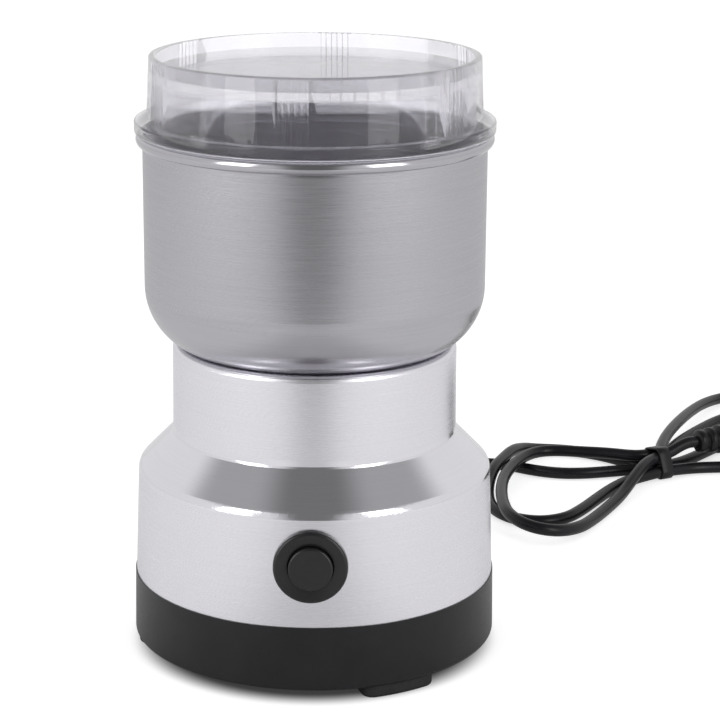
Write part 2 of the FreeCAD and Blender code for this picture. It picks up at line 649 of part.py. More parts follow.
def make_bowl():
    bead_z = rim_z - S.bead_tall
    bead_mid = (bead_z + rim_z) / 2.0
    half = SIZES["bead_tall"] / 2
    bead_r = (half ** 2 + SIZES["bead_proud"] ** 2) / (2 * SIZES["bead_proud"])
    bead = Size(bead_r, "(pow(Sizes.bead_tall / 2; 2) + pow(Sizes.bead_proud; 2))"
                        " / (2 * Sizes.bead_proud)")
    inner_bead = bead - S.bowl_sheet
    bead_axis = S.bowl_r + S.bead_proud - bead
    inner_r = S.bowl_r - S.bowl_sheet
    body = revolved("bowl_turned", [
        (S.frame_boss_r + S.boss_gap, bowl_floor_z), (flat_r, bowl_floor_z, corner_r, 1),
        (S.bowl_r, bowl_floor_z + corner_r), (S.bowl_r, bead_z, bead, 1),
        (S.bowl_r, rim_z), (inner_r, rim_z), (inner_r, bead_mid + inner_bead),
        (bead_axis, bead_mid + inner_bead, inner_bead, -1), (bead_axis, bead_mid - inner_bead),
        (inner_r, bead_mid - inner_bead),
        (inner_r, bowl_floor_z + corner_r, corner_r - S.bowl_sheet, -1),
        (flat_r, bowl_inside_z), (S.frame_boss_r + S.boss_gap, bowl_inside_z),
    ])
    start = SIZES["mark_azimuth"] - SIZES["mark_sweep"] / 2
    mark_z = rim_z - S.mark_drop
    mark_foot = mark_z - S.mark_rise / 2.0
    mark_r = inner_r + S.bowl_sheet / 2.0
    mark = [cylinder("mark_block", mark_r, S.mark_rise, (0, 0, mark_foot), sweep=S.mark_sweep,
                     turn=FreeCAD.Rotation(Vector(0, 0, 1), start - 90.0))]
    for azimuth in (start, start + SIZES["mark_sweep"]):
        turn = FreeCAD.Rotation(Vector(0, 0, 1), azimuth - 90.0).multiply(TURNS["+x"])
        mark.append(cylinder("mark_end_%d" % azimuth, S.mark_rise / 2.0, mark_r, (0, 0, mark_z),
                             turn=turn))
    inside = cylinder("mark_inside", inner_r - S.mark_proud, S.mark_rise + 2.0 * PAST,
                      (0, 0, mark_foot - PAST))
    keep(fuse("bowl", [body, cut("fill_mark", fuse("mark_pill", mark), [inside])]), "bowl")


def make_lid():
    flange_top = rim_z + S.flange_thick
    top_z = rim_z + S.lid_tall
    disc_top = top_z - S.disc_drop
    foot_r = S.bowl_r - S.lid_inset
    top_r = foot_r - S.lid_taper
    flange_r = S.bowl_r + S.bead_proud + S.flange_out
    well_r = top_r - S.lid_wall
    skirt_r = S.bowl_r - S.bowl_sheet - S.skirt_gap
    body = revolved("lid_turned", [
        (0, disc_top - S.disc_thick), (well_r, disc_top - S.disc_thick),
        (skirt_r - S.skirt_wall, rim_z - S.skirt_drop), (skirt_r, rim_z - S.skirt_drop),
        (skirt_r, rim_z), (flange_r, rim_z), (flange_r, flange_top),
        (foot_r, flange_top), (top_r, top_z), (well_r, top_z),
        (well_r, disc_top), (0, disc_top),
    ])
    soften(body, top_r, top_z, S.lid_edge)
    soften(body, well_r, top_z, S.lid_edge)
    soften(body, flange_r, flange_top, S.lid_edge)
    soften(body, flange_r, rim_z, S.lid_edge)
    inset = S.rib_r - S.rib_proud
    rise = top_z - S.lid_edge - flange_top
    lean = math.degrees(math.atan2(SIZES["lid_taper"], SIZES["lid_tall"] - SIZES["flange_thick"]))
    ribs = []
    for index in range(RIB_GROUPS):
        for rib in range(RIBS_PER_GROUP):
            azimuth = (RIB_LEAD_AZIMUTH + index * 360.0 / RIB_GROUPS
                       + (rib - (RIBS_PER_GROUP - 1) / 2) * SIZES["rib_step"])
            rib_x, rib_y = around(azimuth, foot_r - inset)
            turn = FreeCAD.Rotation(Vector(0, 0, 1), azimuth - 90.0).multiply(
                FreeCAD.Rotation(Vector(0, 1, 0), -lean))
            ribs.append(cylinder("rib_%d_%d" % (index, rib), S.rib_r, rise,
                                 (rib_x, rib_y, flange_top), turn=turn))
    keep(fuse("lid", [body] + ribs), "lid")


def make_bowl_fixings():
    hole_r = S.frame_boss_r + S.boss_gap
    keep(ring("bowl_gasket", S.gasket_outer_r, S.gasket_inner_r, plate_top_z, S.gasket_thick),
         "bowl_gasket")
    keep(ring("bowl_seal", S.seal_outer_r, hole_r, bowl_inside_z, S.seal_thick), "bowl_seal")
    nut = ring("nut_ring", S.nut_outer_r, S.frame_boss_r + S.fit_gap, nut_foot_z,
               boss_top_z - nut_foot_z)
    slot_long = (S.nut_outer_r + PAST) * 2.0
    slot = box("nut_slot", (slot_long, S.nut_slot_wide, S.nut_slot_deep + PAST),
               (-slot_long / 2.0, -S.nut_slot_wide / 2.0, boss_top_z - S.nut_slot_deep))
    keep(cut("bowl_nut", nut, [slot]), "bowl_nut")


def make_motor_frame():
    plate = cylinder("frame_plate", frame_r, plate_top_z - frame_z, (0, 0, frame_z))
    rim = ring("frame_rim", frame_r, frame_r - S.frame_ring_wall, plate_top_z - PAST / 2,
               lip_under_z - S.lip_gap - plate_top_z + PAST / 2)
    hub = cylinder("frame_hub", S.frame_boss_r, boss_top_z - frame_z + S.hub_drop,
                   (0, 0, frame_z - S.hub_drop))
    added = [plate, rim, hub]
    taken = [cylinder("hub_bore", S.bush_r + S.fit_gap, boss_top_z - upper_bush_z + PAST,
                      (0, 0, upper_bush_z)),
             cylinder("hub_mouth", S.hub_mouth_r, S.hub_ledge + 2.0 * PAST,
                      (0, 0, frame_z - S.hub_drop - PAST))]
    for azimuth in LEG_AZIMUTHS:
        leg_x, leg_y = around(azimuth, S.leg_at_r)
        added.append(cylinder("leg_%d" % azimuth, S.leg_r, frame_z - leg_foot_z + PAST,
                              (leg_x, leg_y, leg_foot_z)))
        taken.append(cylinder("leg_thread_%d" % azimuth, S.screw_r + S.pilot_gap,
                              S.screw_long - S.screw_web + 2.0 * PAST, (leg_x, leg_y, leg_foot_z - PAST)))
    for side in (-1, 1):
        added.append(cylinder("post_%d" % side, S.post_r, frame_z - stack_top_z + PAST,
                              (S.post_at * side, 0, stack_top_z)))
        taken.append(cylinder("post_thread_%d" % side, S.motor_screw_r + S.pilot_gap,
                              S.motor_screw_long - S.bracket_plate - S.stack_long + 1.5,
                              (S.post_at * side, 0, stack_top_z - PAST)))
    keep(cut("motor_frame", fuse("frame_solid", added), taken), "motor_frame")
    keep(ring("upper_bearing", S.bush_r, bush_bore_r, upper_bush_z, S.bush_long), "upper_bearing")
    keep(ring("shaft_seal", S.bush_r, bush_bore_r, boss_top_z - S.lip_long, S.lip_long), "shaft_seal")


def make_lower_bracket():
    hub = cylinder("bracket_hub", S.bracket_hub_r, S.bush_long + S.hub_floor, (0, 0, bracket_hub_z))
    reach = S.arm_near + S.arm_thick
    plate = box("bracket_base", (reach * 2.0, S.bracket_wide, S.bracket_plate),
                (-reach, -S.bracket_wide / 2.0, S.bracket_z))
    added = [hub, plate]
    taken = [cylinder("bracket_bore", S.bush_r + S.fit_gap, S.bush_long + 2.0 * PAST, (0, 0, lower_bush_z))]
    pad_z = S.stack_z - S.bracket_plate
    for side in (-1, 1):
        near = S.arm_near if side > 0 else -S.arm_near - S.arm_thick
        far = S.arm_near if side > 0 else -S.bracket_reach
        window = S.holder_size + S.fit_gap * 2.0
        added.append(box("arm_%d" % side, (S.arm_thick, S.bracket_wide, S.stack_z - S.bracket_z),
                         (near, -S.bracket_wide / 2.0, S.bracket_z)))
        added.append(box("pad_%d" % side,
                         (S.bracket_reach - S.arm_near, S.bracket_wide, S.bracket_plate),
                         (far, -S.bracket_wide / 2.0, pad_z)))
        taken.append(box("window_%d" % side, (S.arm_thick + 2.0 * PAST, window, window),
                         (near - PAST, window / -2.0, S.brush_z - window / 2.0)))
        taken.append(cylinder("pad_hole_%d" % side, S.motor_screw_r + S.pilot_gap,
                              S.bracket_plate + 2.0 * PAST, (S.post_at * side, 0, pad_z - PAST)))
    keep(cut("lower_bracket", fuse("bracket_solid", added), taken), "lower_bracket")
    keep(ring("lower_bearing", S.bush_r, bush_bore_r, lower_bush_z, S.bush_long), "lower_bearing")


def make_stator():
    yoke = ring("yoke", S.yoke_outer_r, S.yoke_inner_r, S.stack_z, S.stack_long)
    added = [yoke]
    coils = []
    half_wide = S.pole_wide / 2.0 + S.coil_gap
    for side in (-1, 1):
        pole_y = S.stator_bore_r if side > 0 else -S.yoke_inner_r - PAST
        added.append(box("pole_%d" % side,
                         (S.pole_wide, S.yoke_inner_r + PAST - S.stator_bore_r, S.stack_long),
                         (-S.pole_wide / 2.0, pole_y, S.stack_z)))
        turn = FreeCAD.Rotation(Vector(0, 0, 1), 90.0 * side - SIZES["shoe_sweep"] / 2)
        added.append(cylinder("shoe_%d" % side, S.shoe_outer_r, S.stack_long, (0, 0, S.stack_z),
                              sweep=S.shoe_sweep, turn=turn))
        coil_y = S.coil_near if side > 0 else -S.coil_near - S.coil_thick
        outer = half_wide + S.coil_build
        rise = S.stack_long + (S.coil_gap + S.coil_build) * 2.0
        solid = box("coil_block_%d" % side, (outer * 2.0, S.coil_thick, rise),
                    (-outer, coil_y, S.stack_z - S.coil_gap - S.coil_build))
        window = box("coil_window_%d" % side,
                     (half_wide * 2.0, S.coil_thick + 2.0 * PAST, S.stack_long + S.coil_gap * 2.0),
                     (-half_wide, coil_y - PAST, S.stack_z - S.coil_gap))
        coils.append(cut("field_coil_%d" % side, solid, [window]))
    bore = cylinder("stator_bore", S.stator_bore_r, S.stack_long + 2.0 * PAST, (0, 0, S.stack_z - PAST))
    keep(cut("stator_core", fuse("stator_solid", added), [bore]), "stator_core")
    keep(group("field_coils", coils), "field_coils")
    screws = []
    pad_z = S.stack_z - S.bracket_plate
    for side in (-1, 1):
        shank = cylinder("motor_shank_%d" % side, S.motor_screw_r, S.motor_screw_long,
                         (S.post_at * side, 0, pad_z))
        head = cylinder("motor_head_%d" % side, S.motor_head_r, S.motor_head_rise,
                        (S.post_at * side, 0, pad_z - S.motor_head_rise))
        screws.append(fuse("motor_screw_%d" % side, [shank, head]))
    keep(group("motor_screws", screws), "motor_screws")


def make_rotor():
    shaft = cylinder("shaft_rod", S.shaft_r, shoulder_z - S.shaft_foot_z, (0, 0, S.shaft_foot_z))
    tip = cylinder("shaft_tip", S.tip_r, S.tip_rise + PAST, (0, 0, shoulder_z - PAST))
    keep(fuse("motor_shaft", [shaft, tip]), "motor_shaft")
    core = cylinder("core_block", core_r, S.stack_long, (0, 0, S.stack_z))
    taken = [cylinder("core_bore", S.shaft_r, S.stack_long + 2.0 * PAST, (0, 0, S.stack_z - PAST))]
    wires = []
    wire_wide = S.slot_wide - S.wire_gap * 2.0
    for index in range(ROTOR_SLOTS):
        azimuth = index * 360.0 / ROTOR_SLOTS
        taken.append(bar_around("core_slot_%d" % index, azimuth, S.slot_floor_r,
                                core_r - S.slot_floor_r + PAST, S.slot_wide, S.stack_z - PAST,
                                S.stack_long + 2.0 * PAST))
        wires.append(bar_around("slot_wire_%d" % index, azimuth, S.slot_floor_r + S.wire_gap,
                                S.end_turn_r - S.slot_floor_r - S.wire_gap * 2.0, wire_wide,
                                S.stack_z - PAST / 2, S.stack_long + PAST))
    keep(cut("armature_core", core, taken), "armature_core")
    ends = [ring("end_turns_low", S.end_turn_r, S.shaft_r + S.wire_gap, S.stack_z - S.end_turn_rise,
                 S.end_turn_rise),
            ring("end_turns_high", S.end_turn_r, S.shaft_r + S.wire_gap, stack_top_z,
                 S.end_turn_rise)]
    keep(fuse("armature_windings", ends + wires), "armature_windings")
    barrel = ring("bar_barrel", S.commutator_r, S.shaft_r, S.commutator_z, S.commutator_long)
    riser = ring("bar_riser", S.riser_r, S.shaft_r,
                 S.commutator_z + S.commutator_long - S.riser_thick, S.riser_thick)
    grooves = []
    for index in range(COMMUTATOR_BARS):
        grooves.append(bar_around("bar_slot_%d" % index, (index + 0.5) * 360.0 / COMMUTATOR_BARS,
                                  S.commutator_r - S.bar_slot_deep, 6.0, S.bar_slot_wide,
                                  S.commutator_z - PAST, S.commutator_long + 2.0 * PAST))
    keep(cut("commutator", fuse("bar_solid", [barrel, riser]), grooves), "commutator")
    fan = [ring("fan_hub", S.fan_hub_r, S.shaft_r, S.fan_z, S.fan_rise),
           ring("fan_disc", S.fan_r, S.shaft_r, S.fan_z, S.fan_plate)]
    for index in range(FAN_BLADES):
        fan.append(bar_around("fan_blade_%d" % index, index * 360.0 / FAN_BLADES, S.fan_hub_r - PAST,
                              S.fan_r - S.fan_hub_r, S.fan_blade, S.fan_z, S.fan_rise))
    keep(fuse("cooling_fan", fan), "cooling_fan")


def make_blade():
    disc = cylinder("blade_disc", S.blade_disc_r, S.blade_thick, (0, 0, shoulder_z))
    added = [disc]
    flat = S.blade_bend_at
    for index, tilt in enumerate((SIZES["blade_tilt"], -SIZES["blade_droop"]) * 2):
        azimuth = index * 90.0 + BLADE_LEAD_AZIMUTH
        added.append(bar_around("wing_root_%d" % index, azimuth, 0.0, flat, S.blade_wide,
                                shoulder_z, S.blade_thick))
        around_z = FreeCAD.Rotation(Vector(0, 0, 1), azimuth - 90.0)
        turn = around_z.multiply(FreeCAD.Rotation(Vector(0, 1, 0), -tilt))
        corner = turn.multVec(Vector(0, -SIZES["blade_wide"] / 2, 0))
        out_x, out_y = around(azimuth, flat - S.wing_lap)
        wing = box("wing_%d" % index, ((S.blade_reach - flat) / math.cos(math.radians(tilt)),
                                       S.blade_wide, S.blade_thick),
                   (out_x + corner.x, out_y + corner.y, shoulder_z + corner.z), turn)
        added.append(wing)
    bore = cylinder("blade_bore", S.tip_r + S.fit_gap, S.blade_thick + 2.0 * PAST, (0, 0, shoulder_z - PAST))
    keep(cut("blade", fuse("blade_solid", added), [bore]), "blade")
    nut_foot = shoulder_z + S.blade_thick
    prism = doc.addObject("Part::Prism", "nut_prism")
    prism.Polygon = 6
    prism.setExpression("Circumradius", text_of(S.blade_nut_r))
    prism.setExpression("Height", text_of(S.blade_nut_rise))
    place(prism, (0, 0, nut_foot))
    thread = cylinder("nut_thread", S.tip_r + S.fit_gap, S.tip_rise - S.blade_thick + S.tip_gap + PAST,
                      (0, 0, nut_foot - PAST))
    keep(cut("blade_nut", prism, [thread]), "blade_nut")


def make_brushes():
    holders, brushes, springs, caps = [], [], [], []
    channel = S.brush_size + S.slide_gap * 2.0
    long = S.holder_far - S.holder_near
    spring_long = S.holder_far - brush_near - S.brush_long - (S.brush_spring_wire_r + S.spring_gap) * 2.0
    for side, axis in ((1, "+x"), (-1, "-x")):
        def span(near, length):
            return near if side > 0 else -near - length
        solid = box("holder_block_%d" % side, (long, S.holder_size, S.holder_size),
                    (span(S.holder_near, long), -holder_half, holder_foot_z))
        bore = box("holder_channel_%d" % side, (long + 2.0 * PAST, channel, channel),
                   (span(S.holder_near - PAST, long + 2.0 * PAST), channel / -2.0, S.brush_z - channel / 2.0))
        holders.append(cut("brush_holder_%d" % side, solid, [bore]))
        brushes.append(box("brush_%d" % side, (S.brush_long, S.brush_size, S.brush_size),
                           (span(brush_near, S.brush_long), S.brush_size / -2.0,
                            S.brush_z - S.brush_size / 2.0)))
        spring_at = brush_near + S.brush_long + S.brush_spring_wire_r + S.spring_gap
        springs.append(coil_spring("brush_spring_%d" % side, S.brush_spring_r, S.brush_spring_wire_r,
                                   spring_long, BRUSH_SPRING_TURNS,
                                   (spring_at * side, 0, S.brush_z), axis))
        caps.append(box("brush_cap_%d" % side, (S.cap_thick, S.holder_size, S.holder_size),
                        (span(S.holder_far, S.cap_thick), -holder_half, holder_foot_z)))
    keep(group("brush_holders", holders), "brush_holders")
    keep(group("carbon_brushes", brushes), "carbon_brushes")
    keep(group("brush_springs", springs), "brush_springs")
    keep(group("brush_caps", caps), "brush_caps")


def make_base_screws():
    screws = []
    for azimuth in LEG_AZIMUTHS:
        screw_x, screw_y = around(azimuth, S.leg_at_r)
        head_top = leg_foot_z - S.screw_web
        head = cylinder("screw_head_%d" % azimuth, S.screw_head_r, S.screw_head_rise,
                        (screw_x, screw_y, head_top - S.screw_head_rise))
        shank = cylinder("screw_shank_%d" % azimuth, S.screw_r, S.screw_long,
                         (screw_x, screw_y, head_top))
        drive = box("screw_drive_%d" % azimuth, (S.drive_long, S.drive_wide, S.drive_deep + PAST),
                    (screw_x - S.drive_long / 2.0, screw_y - S.drive_wide / 2.0,
                     head_top - S.screw_head_rise - PAST))
        screws.append(cut("base_screw_%d" % azimuth, fuse("screw_%d" % azimuth, [head, shank]), [drive]))
    keep(group("base_screws", screws), "base_screws")


def make_button():
    at = (0, button_face_y, S.button_z)
    back = -S.barrel_long
    crest_r = S.bezel_r - S.bezel_edge
    inner_rise = S.bezel_proud - S.bezel_dish
    barrel_rise = inner_rise + S.bezel_dish * (S.barrel_r - S.barrel_bore_r) / (crest_r - S.barrel_bore_r)
    flange = revolved("bezel_flange", [
        (S.barrel_bore_r, -S.bezel_root), (S.bezel_r, -S.bezel_root),
        (S.bezel_r, S.bezel_proud - S.bezel_edge, S.bezel_edge, 1), (crest_r, S.bezel_proud),
        (S.barrel_bore_r, inner_rise),
    ])
    place(flange, at, TURNS["-y"])
    envelope = doc.addObject("Part::Cone", "shell_envelope")
    envelope.setExpression("Radius1", text_of(S.shell_foot_r + S.slide_gap))
    envelope.setExpression("Radius2", text_of(S.crease_r + S.slide_gap))
    envelope.setExpression("Height", text_of(S.crease_z - S.band_z))
    place(envelope, (0, 0, S.band_z))
    barrel = revolved("bezel_barrel", [
        (S.barrel_bore_r, back), (S.barrel_r, back), (S.barrel_r, barrel_rise),
        (S.barrel_bore_r, inner_rise),
    ])
    place(barrel, at, TURNS["-y"])
    keep(fuse("button_bezel", [cut("bezel_face", flange, [envelope]), barrel]), "button_bezel")
    nut = revolved("nut_turned", [
        (S.barrel_r + S.fit_gap, -S.ring_nut_back - S.ring_nut_thick),
        (S.ring_nut_r, -S.ring_nut_back - S.ring_nut_thick), (S.ring_nut_r, -S.ring_nut_back),
        (S.barrel_r + S.fit_gap, -S.ring_nut_back),
    ])
    keep(place(nut, at, TURNS["-y"]), "bezel_nut")
    stem_end = back + S.slide_gap * 2.0
    cap = revolved("cap_turned", [
        (0, stem_end), (S.stem_r, stem_end), (S.stem_r, -S.button_skirt),
        (S.button_r, -S.button_skirt),
        (S.button_r, S.button_proud - S.button_edge, S.button_edge, 1),
        (S.button_r - S.button_edge, S.button_proud), (0, S.button_proud),
    ])
    keep(place(cap, at, TURNS["-y"]), "button_cap")
    plunger = revolved("plunger_turned", [
        (0, stem_end - S.plunger_long), (S.plunger_r, stem_end - S.plunger_long),
        (S.plunger_r, stem_end), (0, stem_end),
    ])
    keep(place(plunger, at, TURNS["-y"]), "switch_plunger")
    room = S.barrel_long - S.button_skirt - S.spring_wire_r * 2.0 - S.spring_gap
    spring = coil_spring("button_spring", S.spring_r, S.spring_wire_r, room, BUTTON_SPRING_TURNS,
                         (0, button_face_y + S.barrel_long - S.spring_wire_r - S.spring_gap / 2.0,
                          S.button_z), "-y")
    keep(spring, "button_spring")


def make_switch():
    front_y = button_face_y + S.barrel_long
    block = box("switch_block", (S.switch_wide, S.switch_deep, S.switch_tall),
                (-S.switch_wide / 2.0, front_y, S.button_z - S.switch_tall / 2.0))
    added = [block]
    for side in (-1, 1):
        added.append(box("terminal_%d" % side,
                         (S.terminal_wide, S.terminal_thick, S.terminal_long + PAST),
                         (S.switch_wide / 4.0 * side - S.terminal_wide / 2.0,
                          front_y + (S.switch_deep - S.terminal_thick) / 2.0,
                          S.button_z - S.switch_tall / 2.0 - S.terminal_long)))
    bore = cylinder("switch_bore", S.plunger_r + S.plunger_gap,
                    S.plunger_long + S.button_travel + 1.5 * PAST, (0, front_y - PAST, S.button_z), "+y")
    keep(cut("switch_body", fuse("switch_solid", added), [bore]), "switch_body")


def make_cord_entry():
    hole_r = S.grommet_r - S.grommet_flange
    flange = cylinder("grommet_flange", S.grommet_r, S.grommet_proud + 2.0 * PAST,
                      (0, cord_wall_y - 2.0 * PAST, S.cord_exit_z), "+y")
    outside = doc.addObject("Part::Cone", "base_envelope")
    outside.setExpression("Radius1", text_of(S.base_foot_r))
    outside.setExpression("Radius2", text_of(S.base_top_r))
    outside.setExpression("Height", text_of(S.band_z - S.foot_rise))
    place(outside, (0, 0, S.foot_rise))
    neck = cylinder("grommet_neck", hole_r, cord_wall_y - base_inner_r + 2.0 * PAST,
                    (0, base_inner_r - PAST, S.cord_exit_z), "+y")
    inner_y = base_inner_r - S.grommet_seat - S.grommet_back
    inner = cylinder("grommet_inner", S.grommet_r, S.grommet_back, (0, inner_y, S.cord_exit_z), "+y")
    bore = cylinder("grommet_bore", S.cord_r + S.fit_gap,
                    grommet_face_y - inner_y + 2.0 * PAST, (0, inner_y - PAST, S.cord_exit_z), "+y")
    keep(cut("cord_grommet", fuse("grommet_solid",
                                  [cut("grommet_face", flange, [outside]), neck, inner]), [bore]),
         "cord_grommet")
    keep(cylinder("cord_inner", S.cord_r, grommet_face_y - S.jacket_foot,
                  (0, S.jacket_foot, S.cord_exit_z), "+y"), "cord_inner")
    bar_z = S.cord_exit_z + S.clamp_split / 2.0
    bar = box("clamp_bar", (S.clamp_long, S.clamp_wide, S.clamp_thick),
              (-S.clamp_long / 2.0, S.clamp_at - S.clamp_wide / 2.0, bar_z))
    taken = [cylinder("bar_groove", S.cord_r + S.fit_gap, S.clamp_wide + 2.0 * PAST,
                      (0, S.clamp_at - S.clamp_wide / 2.0 - PAST, S.cord_exit_z), "+y")]
    screws = []
    for side in (-1, 1):
        screw_x = S.clamp_screw_at * side
        taken.append(cylinder("bar_hole_%d" % side, S.clamp_screw_r + S.pilot_gap,
                              S.clamp_thick + 2.0 * PAST, (screw_x, S.clamp_at, bar_z - PAST)))
        shank = cylinder("clamp_shank_%d" % side, S.clamp_screw_r, S.clamp_screw_long,
                         (screw_x, S.clamp_at, bar_z + S.clamp_thick - S.clamp_screw_long))
        head = cylinder("clamp_head_%d" % side, S.clamp_head_r, S.clamp_head_rise,
                        (screw_x, S.clamp_at, bar_z + S.clamp_thick))
        screws.append(fuse("clamp_screw_%d" % side, [shank, head]))
    keep(cut("cord_clamp", bar, taken), "cord_clamp")
    keep(group("clamp_screws", screws), "clamp_screws")


def make_wiring():
    foot = SIZES["jacket_foot"]
    exit_z = SIZES["cord_exit_z"]
    terminal_x = SIZES["switch_wide"] / 4
    terminal_y = value_of(button_face_y) + SIZES["barrel_long"] + SIZES["switch_deep"] / 2
    terminal_z = SIZES["button_z"] - SIZES["switch_tall"] / 2 - SIZES["terminal_long"]
    holder_x = SIZES["holder_far"] - SIZES["brush_lead_in"]
    holder_z = value_of(holder_foot_z)
    live = [(-1.0, foot, exit_z), (-1.0, 30.0, exit_z), (-7.0, 17.0, 11.0), (-7.0, -6.0, 10.6),
            (-1.0, -20.0, 11.0), (terminal_x, terminal_y + 4.0, 13.0), (terminal_x, terminal_y, 18.0),
            (terminal_x, terminal_y, terminal_z)]
    neutral = [(1.0, foot, exit_z), (1.0, 30.0, exit_z), (8.0, 22.0, 11.0), (19.0, 12.0, 11.0),
               (holder_x, 4.0, 13.0), (holder_x, 0.0, 19.0), (holder_x, 0.0, holder_z)]
    switched = [(-terminal_x, terminal_y, terminal_z), (-terminal_x, terminal_y, 18.0),
                (-6.0, terminal_y + 5.0, 12.0), (-13.0, -17.0, 10.8), (-21.0, -8.0, 12.0),
                (-holder_x, -1.0, 18.0), (-holder_x, 0.0, 23.0), (-holder_x, 0.0, holder_z)]
    wires = []
    for name, points in (("live_wire", live), ("neutral_wire", neutral), ("switched_wire", switched)):
        wires.append(tube(name, rounded_edges(name, points), S.wire_r))
    keep(group("wiring", wires), "wiring")


def lane_point(lane, along):
    """A point in one lane of the tie, this far along the waist from its middle."""
    across, near_height, far_height = LANES[lane]
    height = near_height + (far_height - near_height) * (along + TIE_HALF) / (2 * TIE_HALF)
    heading = math.radians(TIE_HEADING)
    return (TIE_AT[0] + along * math.cos(heading) - across * math.sin(heading),
            TIE_AT[1] + along * math.sin(heading) + across * math.cos(heading), height)


def through(lane, onward):
    """The two points of a pass through the tie, away from the grinder or back towards it."""
    ends = (-TIE_HALF, TIE_HALF) if onward else (TIE_HALF, -TIE_HALF)
    return [lane_point(lane, along) for along in ends]


def make_cord():
    relief = revolved("relief_turned", [
        (0, 0), (S.relief_foot_r, 0), (S.relief_tip_r, S.relief_long), (0, S.relief_long),
    ])
    place(relief, (0, grommet_face_y, S.cord_exit_z), TURNS["+y"])
    rings = []
    for index in range(RELIEF_GROOVES):
        share = (index + 0.7) / (RELIEF_GROOVES + 0.6)
        radius = S.relief_foot_r + (S.relief_tip_r - S.relief_foot_r) * share
        rings.append(cut("relief_ring_%d" % index,
                         cylinder("relief_ring_out_%d" % index, radius + PAST, S.groove_long,
                                  (0, grommet_face_y + S.relief_long * share, S.cord_exit_z), "+y"),
                         [cylinder("relief_ring_in_%d" % index, radius - S.groove_deep,
                                   S.groove_long + 2.0 * PAST,
                                   (0, grommet_face_y + S.relief_long * share - PAST, S.cord_exit_z),
                                   "+y")]))
    keep(cut("cord_relief", relief, rings), "cord_relief")

    lead_points = [(0.0, value_of(relief_tip_y), SIZES["cord_exit_z"])] + LEAD_POINTS
    keep(tube("cord_lead", rounded_edges("cord_lead", lead_points), S.cord_r), "cord_lead")

    last_run = Vector(*LEAD_POINTS[-1]) - Vector(*LEAD_POINTS[-2])
    first_aim = last_run.normalize()
    start = Vector(*LEAD_POINTS[-1])
    heading = math.radians(PLUG_HEADING)
    last_aim = Vector(math.cos(heading), math.sin(heading), 0)
    end = Vector(*PLUG_AT)
    points = [tuple(start), tuple(start + first_aim * END_RUN)]
    points += through("low_middle", True) + INNER_RIGHT_LOOP
    points += [lane_point("low_back", 0.0)] + OUTER_LEFT_LOOP
    points += through("low_front", True) + OUTER_RIGHT_LOOP
    points += through("high_back", False) + INNER_LEFT_LOOP
    points += through("high_front", True)
    points += [tuple(end - last_aim * END_RUN), tuple(end)]
    edges = biarc_edges("cord_hank", points, first_aim, last_aim)
    keep(tube("cord_hank", edges, S.cord_r), "cord_hank")
    print_self_gap("cord_hank", edges, S.cord_r * 2.0)


def make_tie():
    heading = math.radians(TIE_HEADING)
    along = Vector(math.cos(heading), math.sin(heading), 0)
    order = ["low_front", "high_front", "high_back", "low_back", "low_front"]
    half = SIZES["tie_wide"] / 2
    corners = [Vector(*lane_point(lane, -half)) for lane in order]
    corners[1].z = LANES["high_front"][2]
    loop = Part.makePolygon(corners)
    inner = SIZES["cord_r"] + SIZES["tie_gap"]
    ring_face = Part.Face(loop.makeOffset2D(inner + SIZES["tie_thick"]))
    hole_face = Part.Face(loop.makeOffset2D(inner))
    band = ring_face.cut(hole_face).extrude(along * SIZES["tie_wide"])
    item = doc.addObject("Part::Feature", "tie_band")
    item.Shape = band
    keep(item, "cord_tie")


def on_plug(across, along, height=0.0):
    """A place on the plug: across it, and along it from the relief's foot."""
    heading = math.radians(PLUG_HEADING)
    return (PLUG_AT[0] + along * math.cos(heading) + across * math.sin(heading),
            PLUG_AT[1] + along * math.sin(heading) - across * math.cos(heading),
            PLUG_AT[2] + height)


def make_plug():
    upright = FreeCAD.Rotation(Vector(0, 0, 1), PLUG_HEADING - 90.0)
    along = upright.multiply(TURNS["+y"])
    relief = revolved("plug_relief_turned", [
        (0, 0), (S.plug_relief_foot_r, 0), (S.plug_relief_tip_r, S.plug_relief_long),
        (0, S.plug_relief_long),
    ])
    keep(place(relief, on_plug(0.0, 0.0), along), "plug_relief")
    wedge = doc.addObject("Part::Wedge", "plug_wedge")
    for name, size in (
            ("Xmin", -S.plug_neck_wide / 2.0), ("Xmax", S.plug_neck_wide / 2.0),
            ("X2min", -S.plug_wide / 2.0), ("X2max", S.plug_wide / 2.0), ("Ymin", 0.0),
            ("Ymax", S.plug_long), ("Zmin", -S.plug_thick / 2.0), ("Zmax", S.plug_thick / 2.0),
            ("Z2min", -S.plug_thick / 2.0), ("Z2max", S.plug_thick / 2.0)):
        wedge.setExpression(name, text_of(size))
    body_at = on_plug(0.0, SIZES["plug_relief_long"])
    body = fillet("plug_body", wedge, S.plug_round)
    keep(place(body, body_at, upright), "plug_body")
    pins = []
    for side in (-1, 1):
        at = on_plug(SIZES["pin_half_pitch"] * side, SIZES["plug_relief_long"] + SIZES["plug_long"])
        pins.append(cylinder("pin_%d" % side, S.pin_r, S.pin_long, at, turn=along))
    keep(group("plug_pins", pins), "plug_pins")


for make in (make_feet, make_base, make_shell, make_bowl, make_lid, make_bowl_fixings,
             make_motor_frame, make_lower_bracket, make_stator, make_rotor, make_blade, make_brushes,
             make_base_screws, make_button, make_switch, make_cord_entry, make_wiring, make_cord,
             make_tie, make_plug):
    make()
doc.recompute()

